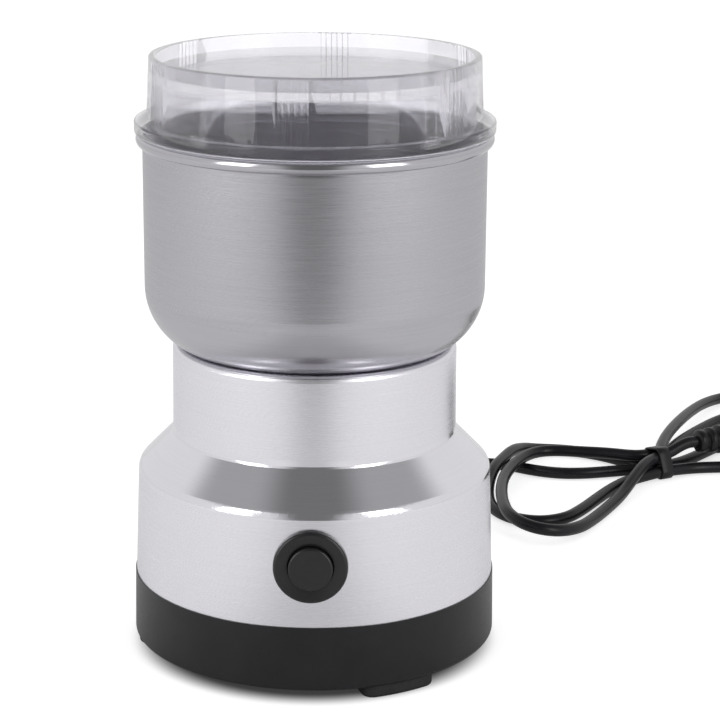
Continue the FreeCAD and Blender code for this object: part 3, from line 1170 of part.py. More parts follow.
failed = [item.Name for item in doc.Objects if "Invalid" in item.State or "Error" in item.State]
if failed:
    raise RuntimeError("failed: " + ", ".join(failed))
os.makedirs("parts", exist_ok=True)
for node, item in NODES.items():
    shape = item.Shape
    if shape.isNull() or not shape.isValid() or not shape.Solids:
        raise RuntimeError("bad shape: " + node)
for node, item in NODES.items():
    item.Shape.exportStep("parts/%s.step" % node)
    print("%-18s %2d solids %10.1f mm3" % (node, len(item.Shape.Solids), item.Shape.Volume))
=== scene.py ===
# The looks of the spice grinder: finishes for its steel, acrylic and plastic, its cord as one
# smooth curve, its plug and tie, and the studio. Metres, in the frame of the model.
import json
import math

import bpy
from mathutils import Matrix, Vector


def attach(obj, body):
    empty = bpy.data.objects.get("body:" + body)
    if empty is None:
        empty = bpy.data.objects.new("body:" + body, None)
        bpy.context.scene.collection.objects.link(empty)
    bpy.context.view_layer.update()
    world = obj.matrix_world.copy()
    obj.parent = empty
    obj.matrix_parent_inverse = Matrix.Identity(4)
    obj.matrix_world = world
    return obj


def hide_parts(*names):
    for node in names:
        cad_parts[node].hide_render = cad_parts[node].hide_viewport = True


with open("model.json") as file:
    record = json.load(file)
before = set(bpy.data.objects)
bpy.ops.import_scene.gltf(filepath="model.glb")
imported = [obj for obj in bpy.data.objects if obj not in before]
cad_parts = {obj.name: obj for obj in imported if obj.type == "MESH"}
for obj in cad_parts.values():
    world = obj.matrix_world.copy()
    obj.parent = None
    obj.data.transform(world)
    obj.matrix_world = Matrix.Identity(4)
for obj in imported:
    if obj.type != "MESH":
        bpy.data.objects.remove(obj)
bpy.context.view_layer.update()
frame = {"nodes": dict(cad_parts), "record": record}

MM = 0.001
ROOT = "housing"

# The photograph's view.
CAMERA_AT = (0.0131, -0.6646, 0.2678)
CAMERA_AIM = (0.0, 0.0, 0.0853)
CAMERA_LENS = 117.9
CAMERA_SENSOR = 36.0
CAMERA_SHIFT = (0.063, 0.0)
CAMERA_ROLL = 0.12

# The studio. The table top ends at FLOOR_FRONT. It is painted darker inside a fixed ring round
# the object, between the radii FLOOR_NEAR, which stands in for a tight contact shadow: there its
# grey is FLOOR_NEAR_GREY and its glow FLOOR_NEAR_SHARE. At FLOOR_PALE and 1 there is no ring.
# Gloss sees a dimmer table and a shaped room, not the white that the camera sees.
FLOOR_SIDE = 4.0
FLOOR_FRONT = -0.42
FLOOR_GLOW = 0.66
FLOOR_PALE = 0.8
FLOOR_NEAR = (0.046, 0.056)
FLOOR_NEAR_GREY = 0.1
FLOOR_NEAR_SHARE = 0.06
FLOOR_GLOSS_GLOW = 0.24
FLOOR_DIM_ACROSS = (0.02, 0.11)
FLOOR_DIM_AHEAD = (-0.05, 0.1)
DIM_ACROSS = (0.17, 0.46)
DIM_AHEAD = (0.1, 0.45)
DIM_UP = (0.58, 0.74)
DIM_UP_SHARE = 0.66
STUDIO_DIM = 0.17
STUDIO_PALE = 0.74
AROUND = 0.52

# How much of the polish the bowl's inside takes.
INSIDE_POLISH = 0.45

# The cord, in millimetres: the free stretch, then the hank as it passes through its tie.
CORD_R = 2.1
LEAD_POINTS = [
    (0.0, 78.75, 13.2), (0.0, 84.0, 13.2), (0.0, 92.0, 13.2), (1.5, 105.0, 11.0), (6.0, 118.0,
                                                                                   6.4),
    (13.5, 130.5, 3.0), (23.0, 142.0, 2.2), (34.0, 151.8, 2.2), (46.0, 158.8, 2.2), (58.0, 161.6,
                                                                                     2.2),
    (68.5, 159.0, 2.2), (76.5, 153.4, 2.2), (85.5, 150.0, 2.2), (94.5, 150.2, 2.2), (103.0,
                                                                                     152.4, 2.2),
    (107.5, 153.6, 2.2),
]
TIE_AT = (121.6, 155.8)
TIE_HEADING = 27.0
TIE_HALF = 2.8
LANES = {"low_front": (-5.0, 2.9, 2.9), "low_middle": (0.0, 2.9, 2.9), "low_back": (5.2, 2.9, 2.9),
         "high_front": (-2.5, 7.5, 8.4), "high_back": (2.7, 7.2, 7.2)}
INNER_RIGHT_LOOP = [
    (131.0, 163.0, 2.4), (138.0, 171.5, 2.2), (147.0, 183.5, 2.2), (158.5, 195.5, 2.2),
    (172.0, 203.0, 2.2), (183.9, 211.7, 2.2), (186.1, 222.7, 2.2), (178.0, 231.6, 2.2),
    (165.0, 229.3, 2.2), (153.4, 219.0, 2.2), (143.6, 205.0, 2.2), (134.6, 190.5, 2.2),
    (128.6, 178.0, 2.2), (125.6, 169.6, 2.3), (122.6, 163.6, 2.7),
]
OUTER_LEFT_LOOP = [
    (114.4, 160.4, 2.7), (110.2, 164.4, 2.4), (105.2, 170.2, 2.2), (97.6, 175.4, 2.2),
    (88.5, 178.4, 2.2), (79.8, 177.2, 2.8), (73.6, 171.0, 5.2), (69.3, 162.0, 7.1),
    (65.4, 151.8, 7.1), (61.7, 141.8, 7.1), (59.2, 131.2, 4.8), (58.4, 120.2, 2.6),
    (59.8, 109.0, 2.2), (65.8, 99.6, 2.2), (75.1, 96.2, 2.2), (84.2, 100.4, 2.2),
    (90.6, 110.0, 2.2), (96.6, 121.4, 2.2), (102.8, 132.6, 2.2), (110.2, 142.6, 2.3),
]
OUTER_RIGHT_LOOP = [
    (135.3, 157.6, 2.3), (146.4, 159.2, 2.2), (158.6, 160.2, 2.2), (172.5, 162.4, 2.2),
    (187.0, 169.6, 2.2), (197.4, 182.4, 2.2), (203.0, 197.6, 2.2), (203.8, 214.1, 2.2),
    (201.0, 230.0, 2.2), (194.2, 244.4, 2.2), (183.5, 254.2, 2.2), (170.0, 256.2, 2.2),
    (157.4, 247.6, 2.6), (149.2, 235.0, 4.0), (142.0, 219.0, 5.4), (135.2, 201.0, 6.8),
    (129.2, 184.0, 7.6), (125.2, 170.4, 7.6),
]
INNER_LEFT_LOOP = [
    (112.6, 156.4, 7.1), (104.0, 159.4, 7.1), (94.9, 160.6, 7.1), (86.8, 162.1, 7.1),
    (79.8, 161.2, 7.1), (74.5, 156.6, 7.1), (70.2, 148.4, 7.1), (66.7, 138.9, 7.1),
    (64.1, 128.2, 7.1), (62.7, 115.8, 7.1), (62.5, 102.3, 7.1), (63.8, 89.6, 7.1),
    (70.0, 80.8, 6.0), (79.6, 81.0, 4.3), (88.0, 89.4, 2.8), (93.8, 100.5, 2.2),
    (99.8, 112.6, 2.2), (105.6, 124.6, 2.8), (110.8, 135.2, 5.4), (115.6, 145.0, 7.4),
]
PLUG_AT = (136.4, 160.4, 11.5)
PLUG_HEADING = 21.0
END_RUN = 4.6

# The plug, in millimetres along its axis from the relief's foot.
PLUG_RELIEF_LONG = 16.0
PLUG_LONG = 36.0
PIN_HALF_PITCH = 9.3


# Materials

def value(tree, operation, *numbers, **settings):
    """A Math node on sockets or plain numbers."""
    node = tree.nodes.new("ShaderNodeMath")
    node.operation = operation
    for key, setting in settings.items():
        setattr(node, key, setting)
    for index, number in enumerate(numbers):
        if isinstance(number, (int, float)):
            node.inputs[index].default_value = number
        else:
            tree.links.new(number, node.inputs[index])
    return node.outputs[0]


class Nodes:
    """Builds one material's nodes, with the surface shader ready in `shader`."""

    def __init__(self, name, **inputs):
        self.material = bpy.data.materials.new(name)
        self.material.use_nodes = True
        self.tree = self.material.node_tree
        self.shader = self.tree.nodes["Principled BSDF"]
        for key, value in inputs.items():
            self.shader.inputs[key.replace("_", " ")].default_value = value

    def add(self, kind, **settings):
        node = self.tree.nodes.new(kind)
        for key, value in settings.items():
            if hasattr(node, key):
                setattr(node, key, value)
            else:
                node.inputs[key.replace("_", " ")].default_value = value
        return node

    def link(self, source, target):
        self.tree.links.new(source, target)

    def place(self, scale):
        """The point in the object's own metres, scaled along each axis."""
        where = self.add("ShaderNodeTexCoord")
        spread = self.add("ShaderNodeMapping")
        spread.inputs["Scale"].default_value = scale
        self.link(where.outputs["Object"], spread.inputs["Vector"])
        return spread.outputs["Vector"]

    def noise(self, scale, detail=3.0, roughness=0.55):
        """Noise in grains per metre along each axis."""
        cloud = self.add("ShaderNodeTexNoise", Scale=1.0, Detail=detail, Roughness=roughness)
        self.link(self.place(scale), cloud.inputs["Vector"])
        return cloud.outputs["Fac"]

    def spread(self, source, low, high, near=0.3, far=0.7):
        """Map a noise onto a range of values."""
        ramp = self.add("ShaderNodeMapRange")
        for key, value in (("From Min", near), ("From Max", far), ("To Min", low), ("To Max",
                                                                                    high)):
            ramp.inputs[key].default_value = value
        self.link(source, ramp.inputs["Value"])
        return ramp.outputs["Result"]

    def tint(self, source, dark, light):
        """Two colours blended by a noise, onto the base colour."""
        blend = self.add("ShaderNodeMix", data_type="RGBA")
        blend.inputs["A"].default_value = (*dark, 1.0)
        blend.inputs["B"].default_value = (*light, 1.0)
        self.link(self.spread(source, 0.0, 1.0), blend.inputs["Factor"])
        for socket in blend.inputs:
            if socket.type == "RGBA" and socket.name == "A":
                socket.default_value = (*dark, 1.0)
            if socket.type == "RGBA" and socket.name == "B":
                socket.default_value = (*light, 1.0)
        colour = [socket for socket in blend.outputs if socket.type == "RGBA"][0]
        self.link(colour, self.shader.inputs["Base Color"])

    def rough(self, source, low, high):
        self.link(self.spread(source, low, high), self.shader.inputs["Roughness"])

    def bump(self, source, depth, strength=1.0, after=None):
        """Raise the surface by a noise, its depth in metres."""
        bump = self.add("ShaderNodeBump", Strength=strength, Distance=depth)
        self.link(source, bump.inputs["Height"])
        if after is not None:
            self.link(after, bump.inputs["Normal"])
        self.link(bump.outputs["Normal"], self.shader.inputs["Normal"])
        return bump.outputs["Normal"]


def turned_steel(name, light, dark, rough, fine, polish, anisotropic=0.7, inside_r=0.0):
    """Sheet steel brushed round the axis, and polished between two heights and inside a radius."""
    mat = Nodes(name, Metallic=1.0, Anisotropic=anisotropic)
    lines = mat.noise((26.0, 26.0, fine), detail=4.0, roughness=0.7)
    mat.tint(lines, dark, light)
    low, high, polished_rough = polish
    height = mat.add("ShaderNodeSeparateXYZ")
    mat.link(mat.place((1.0, 1.0, 1.0)), height.inputs[0])
    above = mat.spread(height.outputs[2], 0.0, 1.0, low - 0.0006, low + 0.0006)
    below = mat.spread(height.outputs[2], 1.0, 0.0, high - 0.0006, high + 0.0006)
    share = value(mat.tree, "MULTIPLY", above, below)
    if inside_r:
        out = value(mat.tree, "SQRT", value(mat.tree, "ADD",
                                            value(mat.tree, "POWER", height.outputs[0], 2.0),
                                            value(mat.tree, "POWER", height.outputs[1], 2.0)))
        inside = mat.spread(out, 1.0, 0.0, inside_r - 0.0002, inside_r + 0.0002)
        share = value(mat.tree, "MAXIMUM", share, value(mat.tree, "MULTIPLY", inside,
                                                        INSIDE_POLISH))
    brushed = mat.spread(mat.noise((40.0, 40.0, fine * 0.6), detail=2.0), rough - 0.05,
                         rough + 0.06)
    drop = value(mat.tree, "MULTIPLY", share, value(mat.tree, "SUBTRACT", brushed, polished_rough))
    mat.link(value(mat.tree, "SUBTRACT", brushed, drop), mat.shader.inputs["Roughness"])
    mat.bump(lines, 0.00002, 0.35)
    round_axis = mat.add("ShaderNodeTangent", direction_type="RADIAL", axis="Z")
    mat.link(round_axis.outputs["Tangent"], mat.shader.inputs["Tangent"])
    return mat.material


def plain_metal(name, light, dark, rough, grain=900.0, depth=0.00001):
    """Machined, ground or plated metal."""
    mat = Nodes(name, Metallic=1.0)
    grains = mat.noise((grain, grain, grain))
    mat.tint(mat.noise((60.0, 60.0, 60.0)), dark, light)
    mat.rough(grains, rough * 0.85, rough * 1.15)
    mat.bump(grains, depth, 0.4)
    return mat.material


def moulded(name, light, dark, rough, grain=1400.0, depth=0.00003, specular=0.5, **inputs):
    """Moulded plastic or rubber with a fine spark texture."""
    mat = Nodes(name, **inputs)
    mat.shader.inputs["Specular IOR Level"].default_value = specular
    grains = mat.noise((grain, grain, grain), detail=2.0)
    mat.tint(mat.noise((90.0, 90.0, 90.0)), dark, light)
    mat.rough(grains, rough * 0.9, rough * 1.1)
    mat.bump(grains, depth, 0.5)
    return mat.material


def clear_acrylic():
    """Clear moulded acrylic with a faint cool tint and the slight waviness of a moulding."""
    mat = Nodes("clear_acrylic", IOR=1.45, Alpha=0.6)
    mat.shader.inputs["Transmission Weight"].default_value = 0.9
    mat.shader.inputs["Base Color"].default_value = (0.72, 0.705, 0.765, 1.0)
    waves = mat.noise((55.0, 55.0, 55.0), detail=1.0)
    mat.rough(mat.noise((300.0, 300.0, 300.0)), 0.0, 0.02)
    mat.bump(waves, 0.0001, 0.25)
    return mat.material


def wound_copper():
    """Enamelled wire laid in close turns."""
    mat = Nodes("copper_wire", Metallic=0.85, Roughness=0.35)
    mat.shader.inputs["Coat Weight"].default_value = 0.4
    turns = mat.add("ShaderNodeTexWave", wave_type="BANDS", bands_direction="Z", Scale=900.0,
                    Distortion=0.6)
    mat.link(mat.place((1.0, 1.0, 1.0)), turns.inputs["Vector"])
    mat.tint(turns.outputs["Fac"], (0.33, 0.12, 0.04), (0.72, 0.34, 0.14))
    mat.bump(turns.outputs["Fac"], 0.0003, 0.8)
    return mat.material


def stacked_sheets():
    """A varnished stack of thin steel sheets."""
    mat = Nodes("lamination_steel", Metallic=0.6, Roughness=0.45)
    sheets = mat.add("ShaderNodeTexWave", wave_type="BANDS", bands_direction="Z", Scale=700.0,
                     Distortion=0.1)
    mat.link(mat.place((1.0, 1.0, 1.0)), sheets.inputs["Vector"])
    mat.tint(sheets.outputs["Fac"], (0.09, 0.09, 0.1), (0.26, 0.26, 0.28))
    mat.bump(sheets.outputs["Fac"], 0.0002, 0.7)
    return mat.material


MATERIALS = {
    "clear_acrylic": clear_acrylic(),
    "bowl_steel": turned_steel("bowl_steel", (0.585, 0.575, 0.61), (0.50, 0.492, 0.522), 0.29,
                               9000.0,
                               (0.149, 0.2, 0.1), inside_r=0.0488),
    "housing_steel": turned_steel("housing_steel", (0.91, 0.895, 0.945), (0.85, 0.837, 0.883),
                                  0.27, 9000.0,
                                  (0.0535, 0.0672, 0.1), 0.5),
    "base_plastic": moulded("base_plastic", (0.014, 0.014, 0.016), (0.010, 0.010, 0.011), 0.34,
                            specular=0.34),
    "foot_rubber": moulded("foot_rubber", (0.022, 0.022, 0.022), (0.014, 0.014, 0.014), 0.75),
    "button_plastic": moulded("button_plastic", (0.017, 0.017, 0.019), (0.012, 0.012, 0.013),
                              0.24, 900.0,
                              0.00001, 0.5),
    "cast_alloy": plain_metal("cast_alloy", (0.58, 0.58, 0.59), (0.42, 0.42, 0.43), 0.5, 500.0,
                              0.0001),
    "sintered_bronze": plain_metal("sintered_bronze", (0.52, 0.36, 0.18), (0.38, 0.25, 0.12), 0.4),
    "lamination_steel": stacked_sheets(),
    "copper_wire": wound_copper(),
    "bright_steel": plain_metal("bright_steel", (0.66, 0.66, 0.67), (0.56, 0.56, 0.58), 0.2),
    "blade_steel": plain_metal("blade_steel", (0.62, 0.62, 0.64), (0.50, 0.50, 0.52), 0.28,
                               1500.0),
    "zinc_steel": plain_metal("zinc_steel", (0.62, 0.63, 0.64), (0.50, 0.51, 0.53), 0.32),
    "carbon": moulded("carbon", (0.05, 0.05, 0.052), (0.025, 0.025, 0.026), 0.5),
    "fan_plastic": moulded("fan_plastic", (0.72, 0.71, 0.66), (0.64, 0.63, 0.58), 0.5),
    "switch_plastic": moulded("switch_plastic", (0.03, 0.03, 0.03), (0.02, 0.02, 0.02), 0.45),
    "seal_rubber": moulded("seal_rubber", (0.62, 0.61, 0.58), (0.52, 0.51, 0.49), 0.6),
    "cord_vinyl": moulded("cord_vinyl", (0.012, 0.012, 0.015), (0.007, 0.007, 0.009), 0.3,
                          1800.0, 0.00002, 0.3),
    "wire_vinyl": moulded("wire_vinyl", (0.05, 0.12, 0.36), (0.03, 0.08, 0.28), 0.35),
    "plug_vinyl": moulded("plug_vinyl", (0.012, 0.012, 0.014), (0.007, 0.007, 0.009), 0.36,
                          1300.0, 0.00004, 0.32),
    "pin_brass": plain_metal("pin_brass", (0.72, 0.70, 0.64), (0.62, 0.60, 0.54), 0.22),
}


def give(thing, name):
    """Let this material cover an object."""
    thing.data.materials.clear()
    thing.data.materials.append(MATERIALS[name])


def finish_cad_nodes():
    """Each node takes the finish of its slot in the record."""
    slots = {part["node"]: part["material_slot"] for part in frame["record"]["subparts"]}
    for node, thing in frame["nodes"].items():
        for slot in thing.material_slots:
            slot.material = MATERIALS[slots[node]]
        if not thing.material_slots:
            give(thing, slots[node])


# Cord, tie and plug

def lane_point(lane, along):
    """A point in one lane of the tie, this far along the waist from its middle."""
    across, near_height, far_height = LANES[lane]
    height = near_height + (far_height - near_height) * (along + TIE_HALF) / (2 * TIE_HALF)
    heading = math.radians(TIE_HEADING)
    return (TIE_AT[0] + along * math.cos(heading) - across * math.sin(heading),
            TIE_AT[1] + along * math.sin(heading) + across * math.cos(heading), height)


def through(lane, onward):
    """The two points of a pass through the tie, away from the grinder or back towards it."""
    ends = (-TIE_HALF, TIE_HALF) if onward else (TIE_HALF, -TIE_HALF)
    return [lane_point(lane, along) for along in ends]


def on_plug(along, across=0.0, height=0.0):
    """A place on the plug: along its axis from the relief's foot, and across it."""
    heading = math.radians(PLUG_HEADING)
    return (PLUG_AT[0] + along * math.cos(heading) + across * math.sin(heading),
            PLUG_AT[1] + along * math.sin(heading) - across * math.cos(heading),
            PLUG_AT[2] + height)


def cord_points():
    points = LEAD_POINTS + through("low_middle", True) + INNER_RIGHT_LOOP
    points += [lane_point("low_back", 0.0)] + OUTER_LEFT_LOOP
    points += through("low_front", True) + OUTER_RIGHT_LOOP
    points += through("high_back", False) + INNER_LEFT_LOOP
    points += through("high_front", True)
    return points + [on_plug(-END_RUN), on_plug(0.0), on_plug(2.0)]


def make_cord():
    data = bpy.data.curves.new("mains_cord", "CURVE")
    data.dimensions = "3D"
    data.bevel_depth = CORD_R * MM
    data.bevel_resolution = 6
    data.resolution_u = 8
    data.use_fill_caps = True
    spline = data.splines.new("NURBS")
    points = cord_points()
    spline.points.add(len(points) - 1)
    for control, point in zip(spline.points, points):
        control.co = (*(number * MM for number in point), 1.0)
    spline.order_u = 3
    spline.use_endpoint_u = True
    cord = bpy.data.objects.new("mains_cord", data)
    bpy.context.scene.collection.objects.link(cord)
    data.materials.append(MATERIALS["cord_vinyl"])
    return cord


def mesh_piece(name, vertices, faces, material, smooth=True):
    data = bpy.data.meshes.new(name)
    data.from_pydata([tuple(number * MM for number in vertex) for vertex in vertices], [], faces)
    data.validate()
    data.update()
    piece = bpy.data.objects.new(name, data)
    bpy.context.scene.collection.objects.link(piece)
    data.materials.append(MATERIALS[material])
    for polygon in data.polygons:
        polygon.use_smooth = smooth
    return piece


def loft(sections, closed_ends=True):
    """Faces between rings of points, each ring with as many points."""
    vertices = [point for section in sections for point in section]
    around = len(sections[0])
    faces = []
    for ring in range(len(sections) - 1):
        for index in range(around):
            after = (index + 1) % around
            faces.append((ring * around + index, ring * around + after,
                          (ring + 1) * around + after, (ring + 1) * around + index))
    if closed_ends:
        faces.append(tuple(reversed(range(around))))
        faces.append(tuple(range(len(vertices) - around, len(vertices))))
    return vertices, faces


def squared_ring(along, half_wide, half_thick, power, count=40):
    """A rounded-square ring across the plug at this distance along it."""
    ring = []
    for index in range(count):
        angle = 2 * math.pi * index / count
        cosine, sine = math.cos(angle), math.sin(angle)
        across = half_wide * math.copysign(abs(cosine) ** (2 / power), cosine)
        height = half_thick * math.copysign(abs(sine) ** (2 / power), sine)
        ring.append(on_plug(along, across, height))
    return ring


def make_plug_relief():
    """A ribbed sleeve that widens towards the plug."""
    sections = [squared_ring(0.0, 3.3, 3.3, 2.0), squared_ring(0.3, 3.9, 3.9, 2.0)]
    ribs = 4
    pitch = (PLUG_RELIEF_LONG - 1.5) / ribs
    for index in range(ribs):
        foot = 0.8 + index * pitch
        wide = 4.1 + 1.5 * index / (ribs - 1)
        for share, drop in ((0.0, 0.0), (0.55, 0.0), (0.62, 0.25), (0.66, 0.8), (0.86, 0.8),
                            (0.92, 0.1)):
            sections.append(squared_ring(foot + share * pitch, wide - drop, wide - drop, 2.2))
    sections.append(squared_ring(PLUG_RELIEF_LONG, 5.4, 5.4, 2.4))
    return mesh_piece("plug_sleeve", *loft(sections), "plug_vinyl")


def make_plug_body():
    """The moulded grip: narrow at the cord, flared to a flat face for the pins."""
    sections = []
    stations = (
        (0.0, 5.2, 5.0, 2.6), (0.5, 6.4, 6.0, 3.0), (2.0, 7.2, 6.7, 3.2), (8.0, 8.2, 7.0, 3.4),
        (14.0, 9.6, 6.7, 3.6), (20.0, 11.0, 6.5, 3.8), (26.0, 12.2, 6.7, 4.2), (31.0, 12.9, 7.0,
                                                                                4.6),
        (34.6, 13.0, 7.0, 5.0), (35.6, 12.7, 6.8, 5.0), (36.0, 12.1, 6.2, 5.0))
    for along, half_wide, half_thick, power in stations:
        sections.append(squared_ring(PLUG_RELIEF_LONG + along, half_wide, half_thick, power, 64))
    return mesh_piece("plug_grip", *loft(sections), "plug_vinyl")


def make_pins():
    """Two round pins with sleeved shanks and rounded tips."""
    vertices, faces = [], []
    for side in (-1, 1):
        sections = []
        foot = PLUG_RELIEF_LONG + PLUG_LONG
        for along, radius in ((-0.5, 1.9), (0.0, 1.9), (9.8, 1.9), (10.0, 2.0), (17.6, 2.0),
                              (18.5, 1.6),
                              (18.9, 1.0), (19.0, 0.4)):
            ring = []
            for index in range(24):
                angle = 2 * math.pi * index / 24
                ring.append(on_plug(foot + along, PIN_HALF_PITCH * side + radius * math.cos(angle),
                                    radius * math.sin(angle)))
            sections.append(ring)
        own_vertices, own_faces = loft(sections)
        faces += [tuple(index + len(vertices) for index in face) for face in own_faces]
        vertices += own_vertices
    return mesh_piece("plug_prongs", vertices, faces, "pin_brass")


def tie_ring(along, inner, thick):
    """The band's outline round the bundle at this distance along the waist."""
    order = ("low_front", "high_front", "high_back", "low_back")
    heading = math.radians(TIE_HEADING)
    centres = []
    for lane in order:
        across, near_height, far_height = LANES[lane]
        centres.append(Vector((across, max(near_height, far_height))))
    middle = sum(centres, Vector((0.0, 0.0))) / len(centres)
    ring = []
    steps = 12
    for index, centre in enumerate(centres):
        before = centres[index - 1]
        after = centres[(index + 1) % len(centres)]
        first = (centre - before).normalized()
        second = (after - centre).normalized()
        start = math.atan2(first.x, -first.y)
        turn = first.angle_signed(second)
        for step in range(steps + 1):
            angle = start - turn * step / steps
            reach = inner + thick
            point = centre + Vector((math.cos(angle), math.sin(angle))) * reach
            if (point - middle).length < (centre - middle).length:
                point = centre - Vector((math.cos(angle), math.sin(angle))) * reach
            ring.append((TIE_AT[0] + along * math.cos(heading) - point.x * math.sin(heading),
                         TIE_AT[1] + along * math.sin(heading) + point.x * math.cos(heading),
                         point.y))
    return ring


def make_tie():
    """A flat band round the hank's waist."""
    half = 2.4
    inner, thick = CORD_R + 0.1, 0.6
    profile = ((-half, 0.0), (-half, thick * 0.7), (-half + 0.3, thick), (half - 0.3, thick),
               (half, thick * 0.7), (half, 0.0))
    sections = [tie_ring(along, inner, rise) for along, rise in profile]
    sections.append(sections[0])
    return mesh_piece("cord_band", *loft(sections, closed_ends=False), "plug_vinyl")


def make_cords():
    cord = make_cord()
    sleeve, grip, pins, band = make_plug_relief(), make_plug_body(), make_pins(), make_tie()
    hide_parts("cord_lead", "cord_hank")
    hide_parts("plug_relief")
    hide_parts("plug_body")
    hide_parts("plug_pins")
    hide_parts("cord_tie")
    for piece in (cord, sleeve, grip, pins, band):
        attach(piece, ROOT)


# Studio

def make_camera():
    data = bpy.data.cameras.new("view")
    data.lens = CAMERA_LENS
    data.sensor_width = CAMERA_SENSOR
    data.shift_x, data.shift_y = CAMERA_SHIFT
    data.clip_start = 0.01
    camera = bpy.data.objects.new("view", data)
    camera.location = CAMERA_AT
    aim = Vector(CAMERA_AIM) - Vector(CAMERA_AT)
    camera.rotation_euler = aim.to_track_quat("-Z", "Y").to_euler()
    camera.rotation_euler.rotate_axis("Z", math.radians(CAMERA_ROLL))
    bpy.context.scene.collection.objects.link(camera)
    bpy.context.scene.camera = camera


def ramp(tree, source, low, high):
    """0 below one value of a socket, 1 above another, and smooth between them."""
    node = tree.nodes.new("ShaderNodeMapRange")
    node.interpolation_type = "SMOOTHSTEP"
    node.inputs["From Min"].default_value = low
    node.inputs["From Max"].default_value = high
    tree.links.new(source, node.inputs["Value"])
    return node.outputs["Result"]


def seen_rays(tree):
    """One for rays from the camera or through clear plastic, and one for those off gloss."""
    path = tree.nodes.new("ShaderNodeLightPath")
    straight = value(tree, "MAXIMUM", path.outputs["Is Camera Ray"],
                     path.outputs["Is Transmission Ray"])
    return straight, path.outputs["Is Glossy Ray"]


def lit_part(tree, across, ahead, across_range, ahead_range):
    """One at the sides and behind, and 0 in the middle in front."""
    aside = ramp(tree, value(tree, "ABSOLUTE", across), *across_range)
    return value(tree, "MAXIMUM", aside, ramp(tree, ahead, *ahead_range))


def make_floor():
    """A pale table top with a painted contact shadow, a darker ring round the object. It ends in
    front.
    """
    side, front = FLOOR_SIDE, FLOOR_FRONT
    data = bpy.data.meshes.new("studio_floor")
    data.from_pydata([(-side, front, 0), (side, front, 0), (side, side, 0), (-side, side, 0)], [],
                     [(0, 1, 2, 3)])
    floor = bpy.data.objects.new("studio_floor", data)
    bpy.context.scene.collection.objects.link(floor)
    material = bpy.data.materials.new("studio_floor")
    material.use_nodes = True
    tree = material.node_tree
    tree.nodes.clear()
    matt = tree.nodes.new("ShaderNodeBsdfDiffuse")
    pale = tree.nodes.new("ShaderNodeMix")
    pale.data_type = "RGBA"
    pale.inputs["A"].default_value = (FLOOR_NEAR_GREY,) * 3 + (1.0,)
    pale.inputs["B"].default_value = (FLOOR_PALE,) * 3 + (1.0,)
    tree.links.new(pale.outputs["Result"], matt.inputs["Color"])
    glow = tree.nodes.new("ShaderNodeEmission")
    glow.inputs["Color"].default_value = (1.0, 1.0, 1.0, 1.0)
    straight, gloss = seen_rays(tree)
    where = tree.nodes.new("ShaderNodeTexCoord")
    place = tree.nodes.new("ShaderNodeSeparateXYZ")
    tree.links.new(where.outputs["Object"], place.inputs[0])
    lit = lit_part(tree, place.outputs[0], place.outputs[1], FLOOR_DIM_ACROSS, FLOOR_DIM_AHEAD)
    gloss = value(tree, "MULTIPLY", gloss, lit)
    away = value(tree, "SQRT", value(tree, "ADD", value(tree, "POWER", place.outputs[0], 2.0),
                                     value(tree, "POWER", place.outputs[1], 2.0)))
    # Inside the ring the floor's colour goes to FLOOR_NEAR_GREY: a painted contact shadow.
    tree.links.new(ramp(tree, away, *FLOOR_NEAR), pale.inputs["Factor"])
    # Inside the ring the camera glow drops to FLOOR_NEAR_SHARE too, for the same painted shadow.
    clear = value(tree, "ADD", FLOOR_NEAR_SHARE,
                  value(tree, "MULTIPLY", ramp(tree, away, *FLOOR_NEAR), 1.0 - FLOOR_NEAR_SHARE))
    share = value(tree, "ADD", value(tree, "MULTIPLY", straight,
                                     value(tree, "MULTIPLY", clear, FLOOR_GLOW)),
                  value(tree, "MULTIPLY", gloss, FLOOR_GLOSS_GLOW))
    tree.links.new(share, glow.inputs["Strength"])
    both = tree.nodes.new("ShaderNodeAddShader")
    tree.links.new(matt.outputs[0], both.inputs[0])
    tree.links.new(glow.outputs[0], both.inputs[1])
    out = tree.nodes.new("ShaderNodeOutputMaterial")
    tree.links.new(both.outputs[0], out.inputs["Surface"])
    data.materials.append(material)


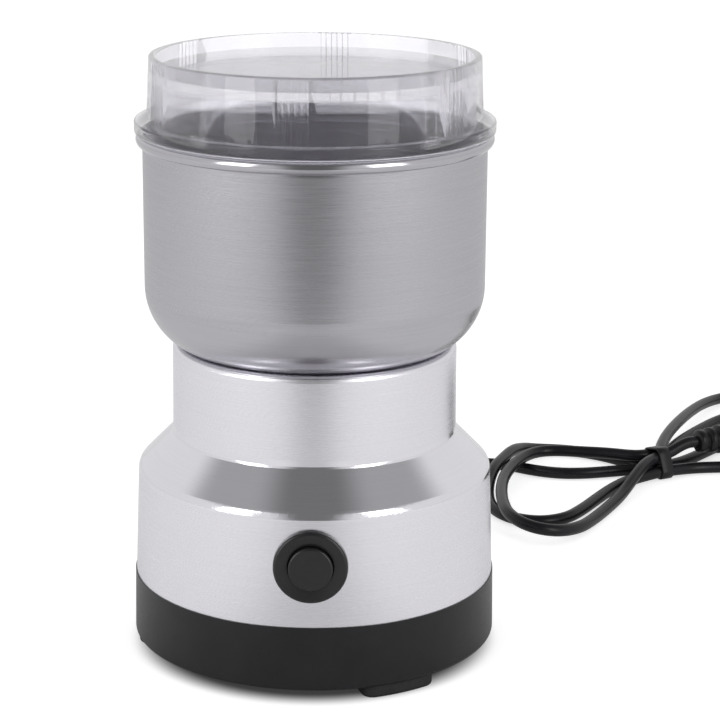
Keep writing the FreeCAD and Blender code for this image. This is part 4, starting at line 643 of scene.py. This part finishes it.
def make_world():
    """White for straight rays. Gloss sees a shaped room: pale sides, dim front and overhead."""
    world = bpy.data.worlds.new("studio")
    bpy.context.scene.world = world
    world.use_nodes = True
    tree = world.node_tree
    tree.nodes.clear()
    straight, gloss = seen_rays(tree)
    direction = tree.nodes.new("ShaderNodeSeparateXYZ")
    where = tree.nodes.new("ShaderNodeTexCoord")
    tree.links.new(where.outputs["Generated"], direction.inputs[0])
    across, ahead, up = direction.outputs
    overhead = value(tree, "MULTIPLY", ramp(tree, up, *DIM_UP), DIM_UP_SHARE)
    lit = value(tree, "MULTIPLY", lit_part(tree, across, ahead, DIM_ACROSS, DIM_AHEAD),
                value(tree, "SUBTRACT", 1.0, overhead))
    studio = value(tree, "ADD", value(tree, "MULTIPLY", lit, STUDIO_PALE - STUDIO_DIM), STUDIO_DIM)
    glossy = value(tree, "ADD", value(tree, "MULTIPLY", gloss, studio),
                   value(tree, "MULTIPLY", value(tree, "SUBTRACT", 1.0, gloss), AROUND))
    strength = value(tree, "MAXIMUM", glossy, straight)
    light = tree.nodes.new("ShaderNodeBackground")
    light.inputs["Color"].default_value = (1.0, 1.0, 1.0, 1.0)
    tree.links.new(strength, light.inputs["Strength"])
    out = tree.nodes.new("ShaderNodeOutputWorld")
    tree.links.new(light.outputs[0], out.inputs["Surface"])


def soft_box(name, azimuth, distance, foot, top, wide, radiance):
    """An upright soft box, azimuth from the front, that faces the object."""
    tall = top - foot
    data = bpy.data.lights.new(name, "AREA")
    data.shape = "RECTANGLE"
    data.size, data.size_y = wide, tall
    data.energy = radiance * math.pi * wide * tall
    lamp = bpy.data.objects.new(name, data)
    angle = math.radians(azimuth)
    lamp.location = (distance * math.sin(angle), -distance * math.cos(angle), (foot + top) / 2)
    aim = Vector((0.0, 0.0, (foot + top) / 2))
    lamp.rotation_euler = (aim - lamp.location).to_track_quat("-Z", "Y").to_euler()
    bpy.context.scene.collection.objects.link(lamp)


def make_lights():
    soft_box("left_box", -50.0, 1.3, 0.05, 1.1, 0.5, 2.9)
    soft_box("right_box", 47.0, 1.3, 0.05, 1.1, 0.5, 2.7)


finish_cad_nodes()
make_cords()
make_camera()
make_floor()
make_world()
make_lights()
bpy.context.scene.view_settings.view_transform = "Standard"
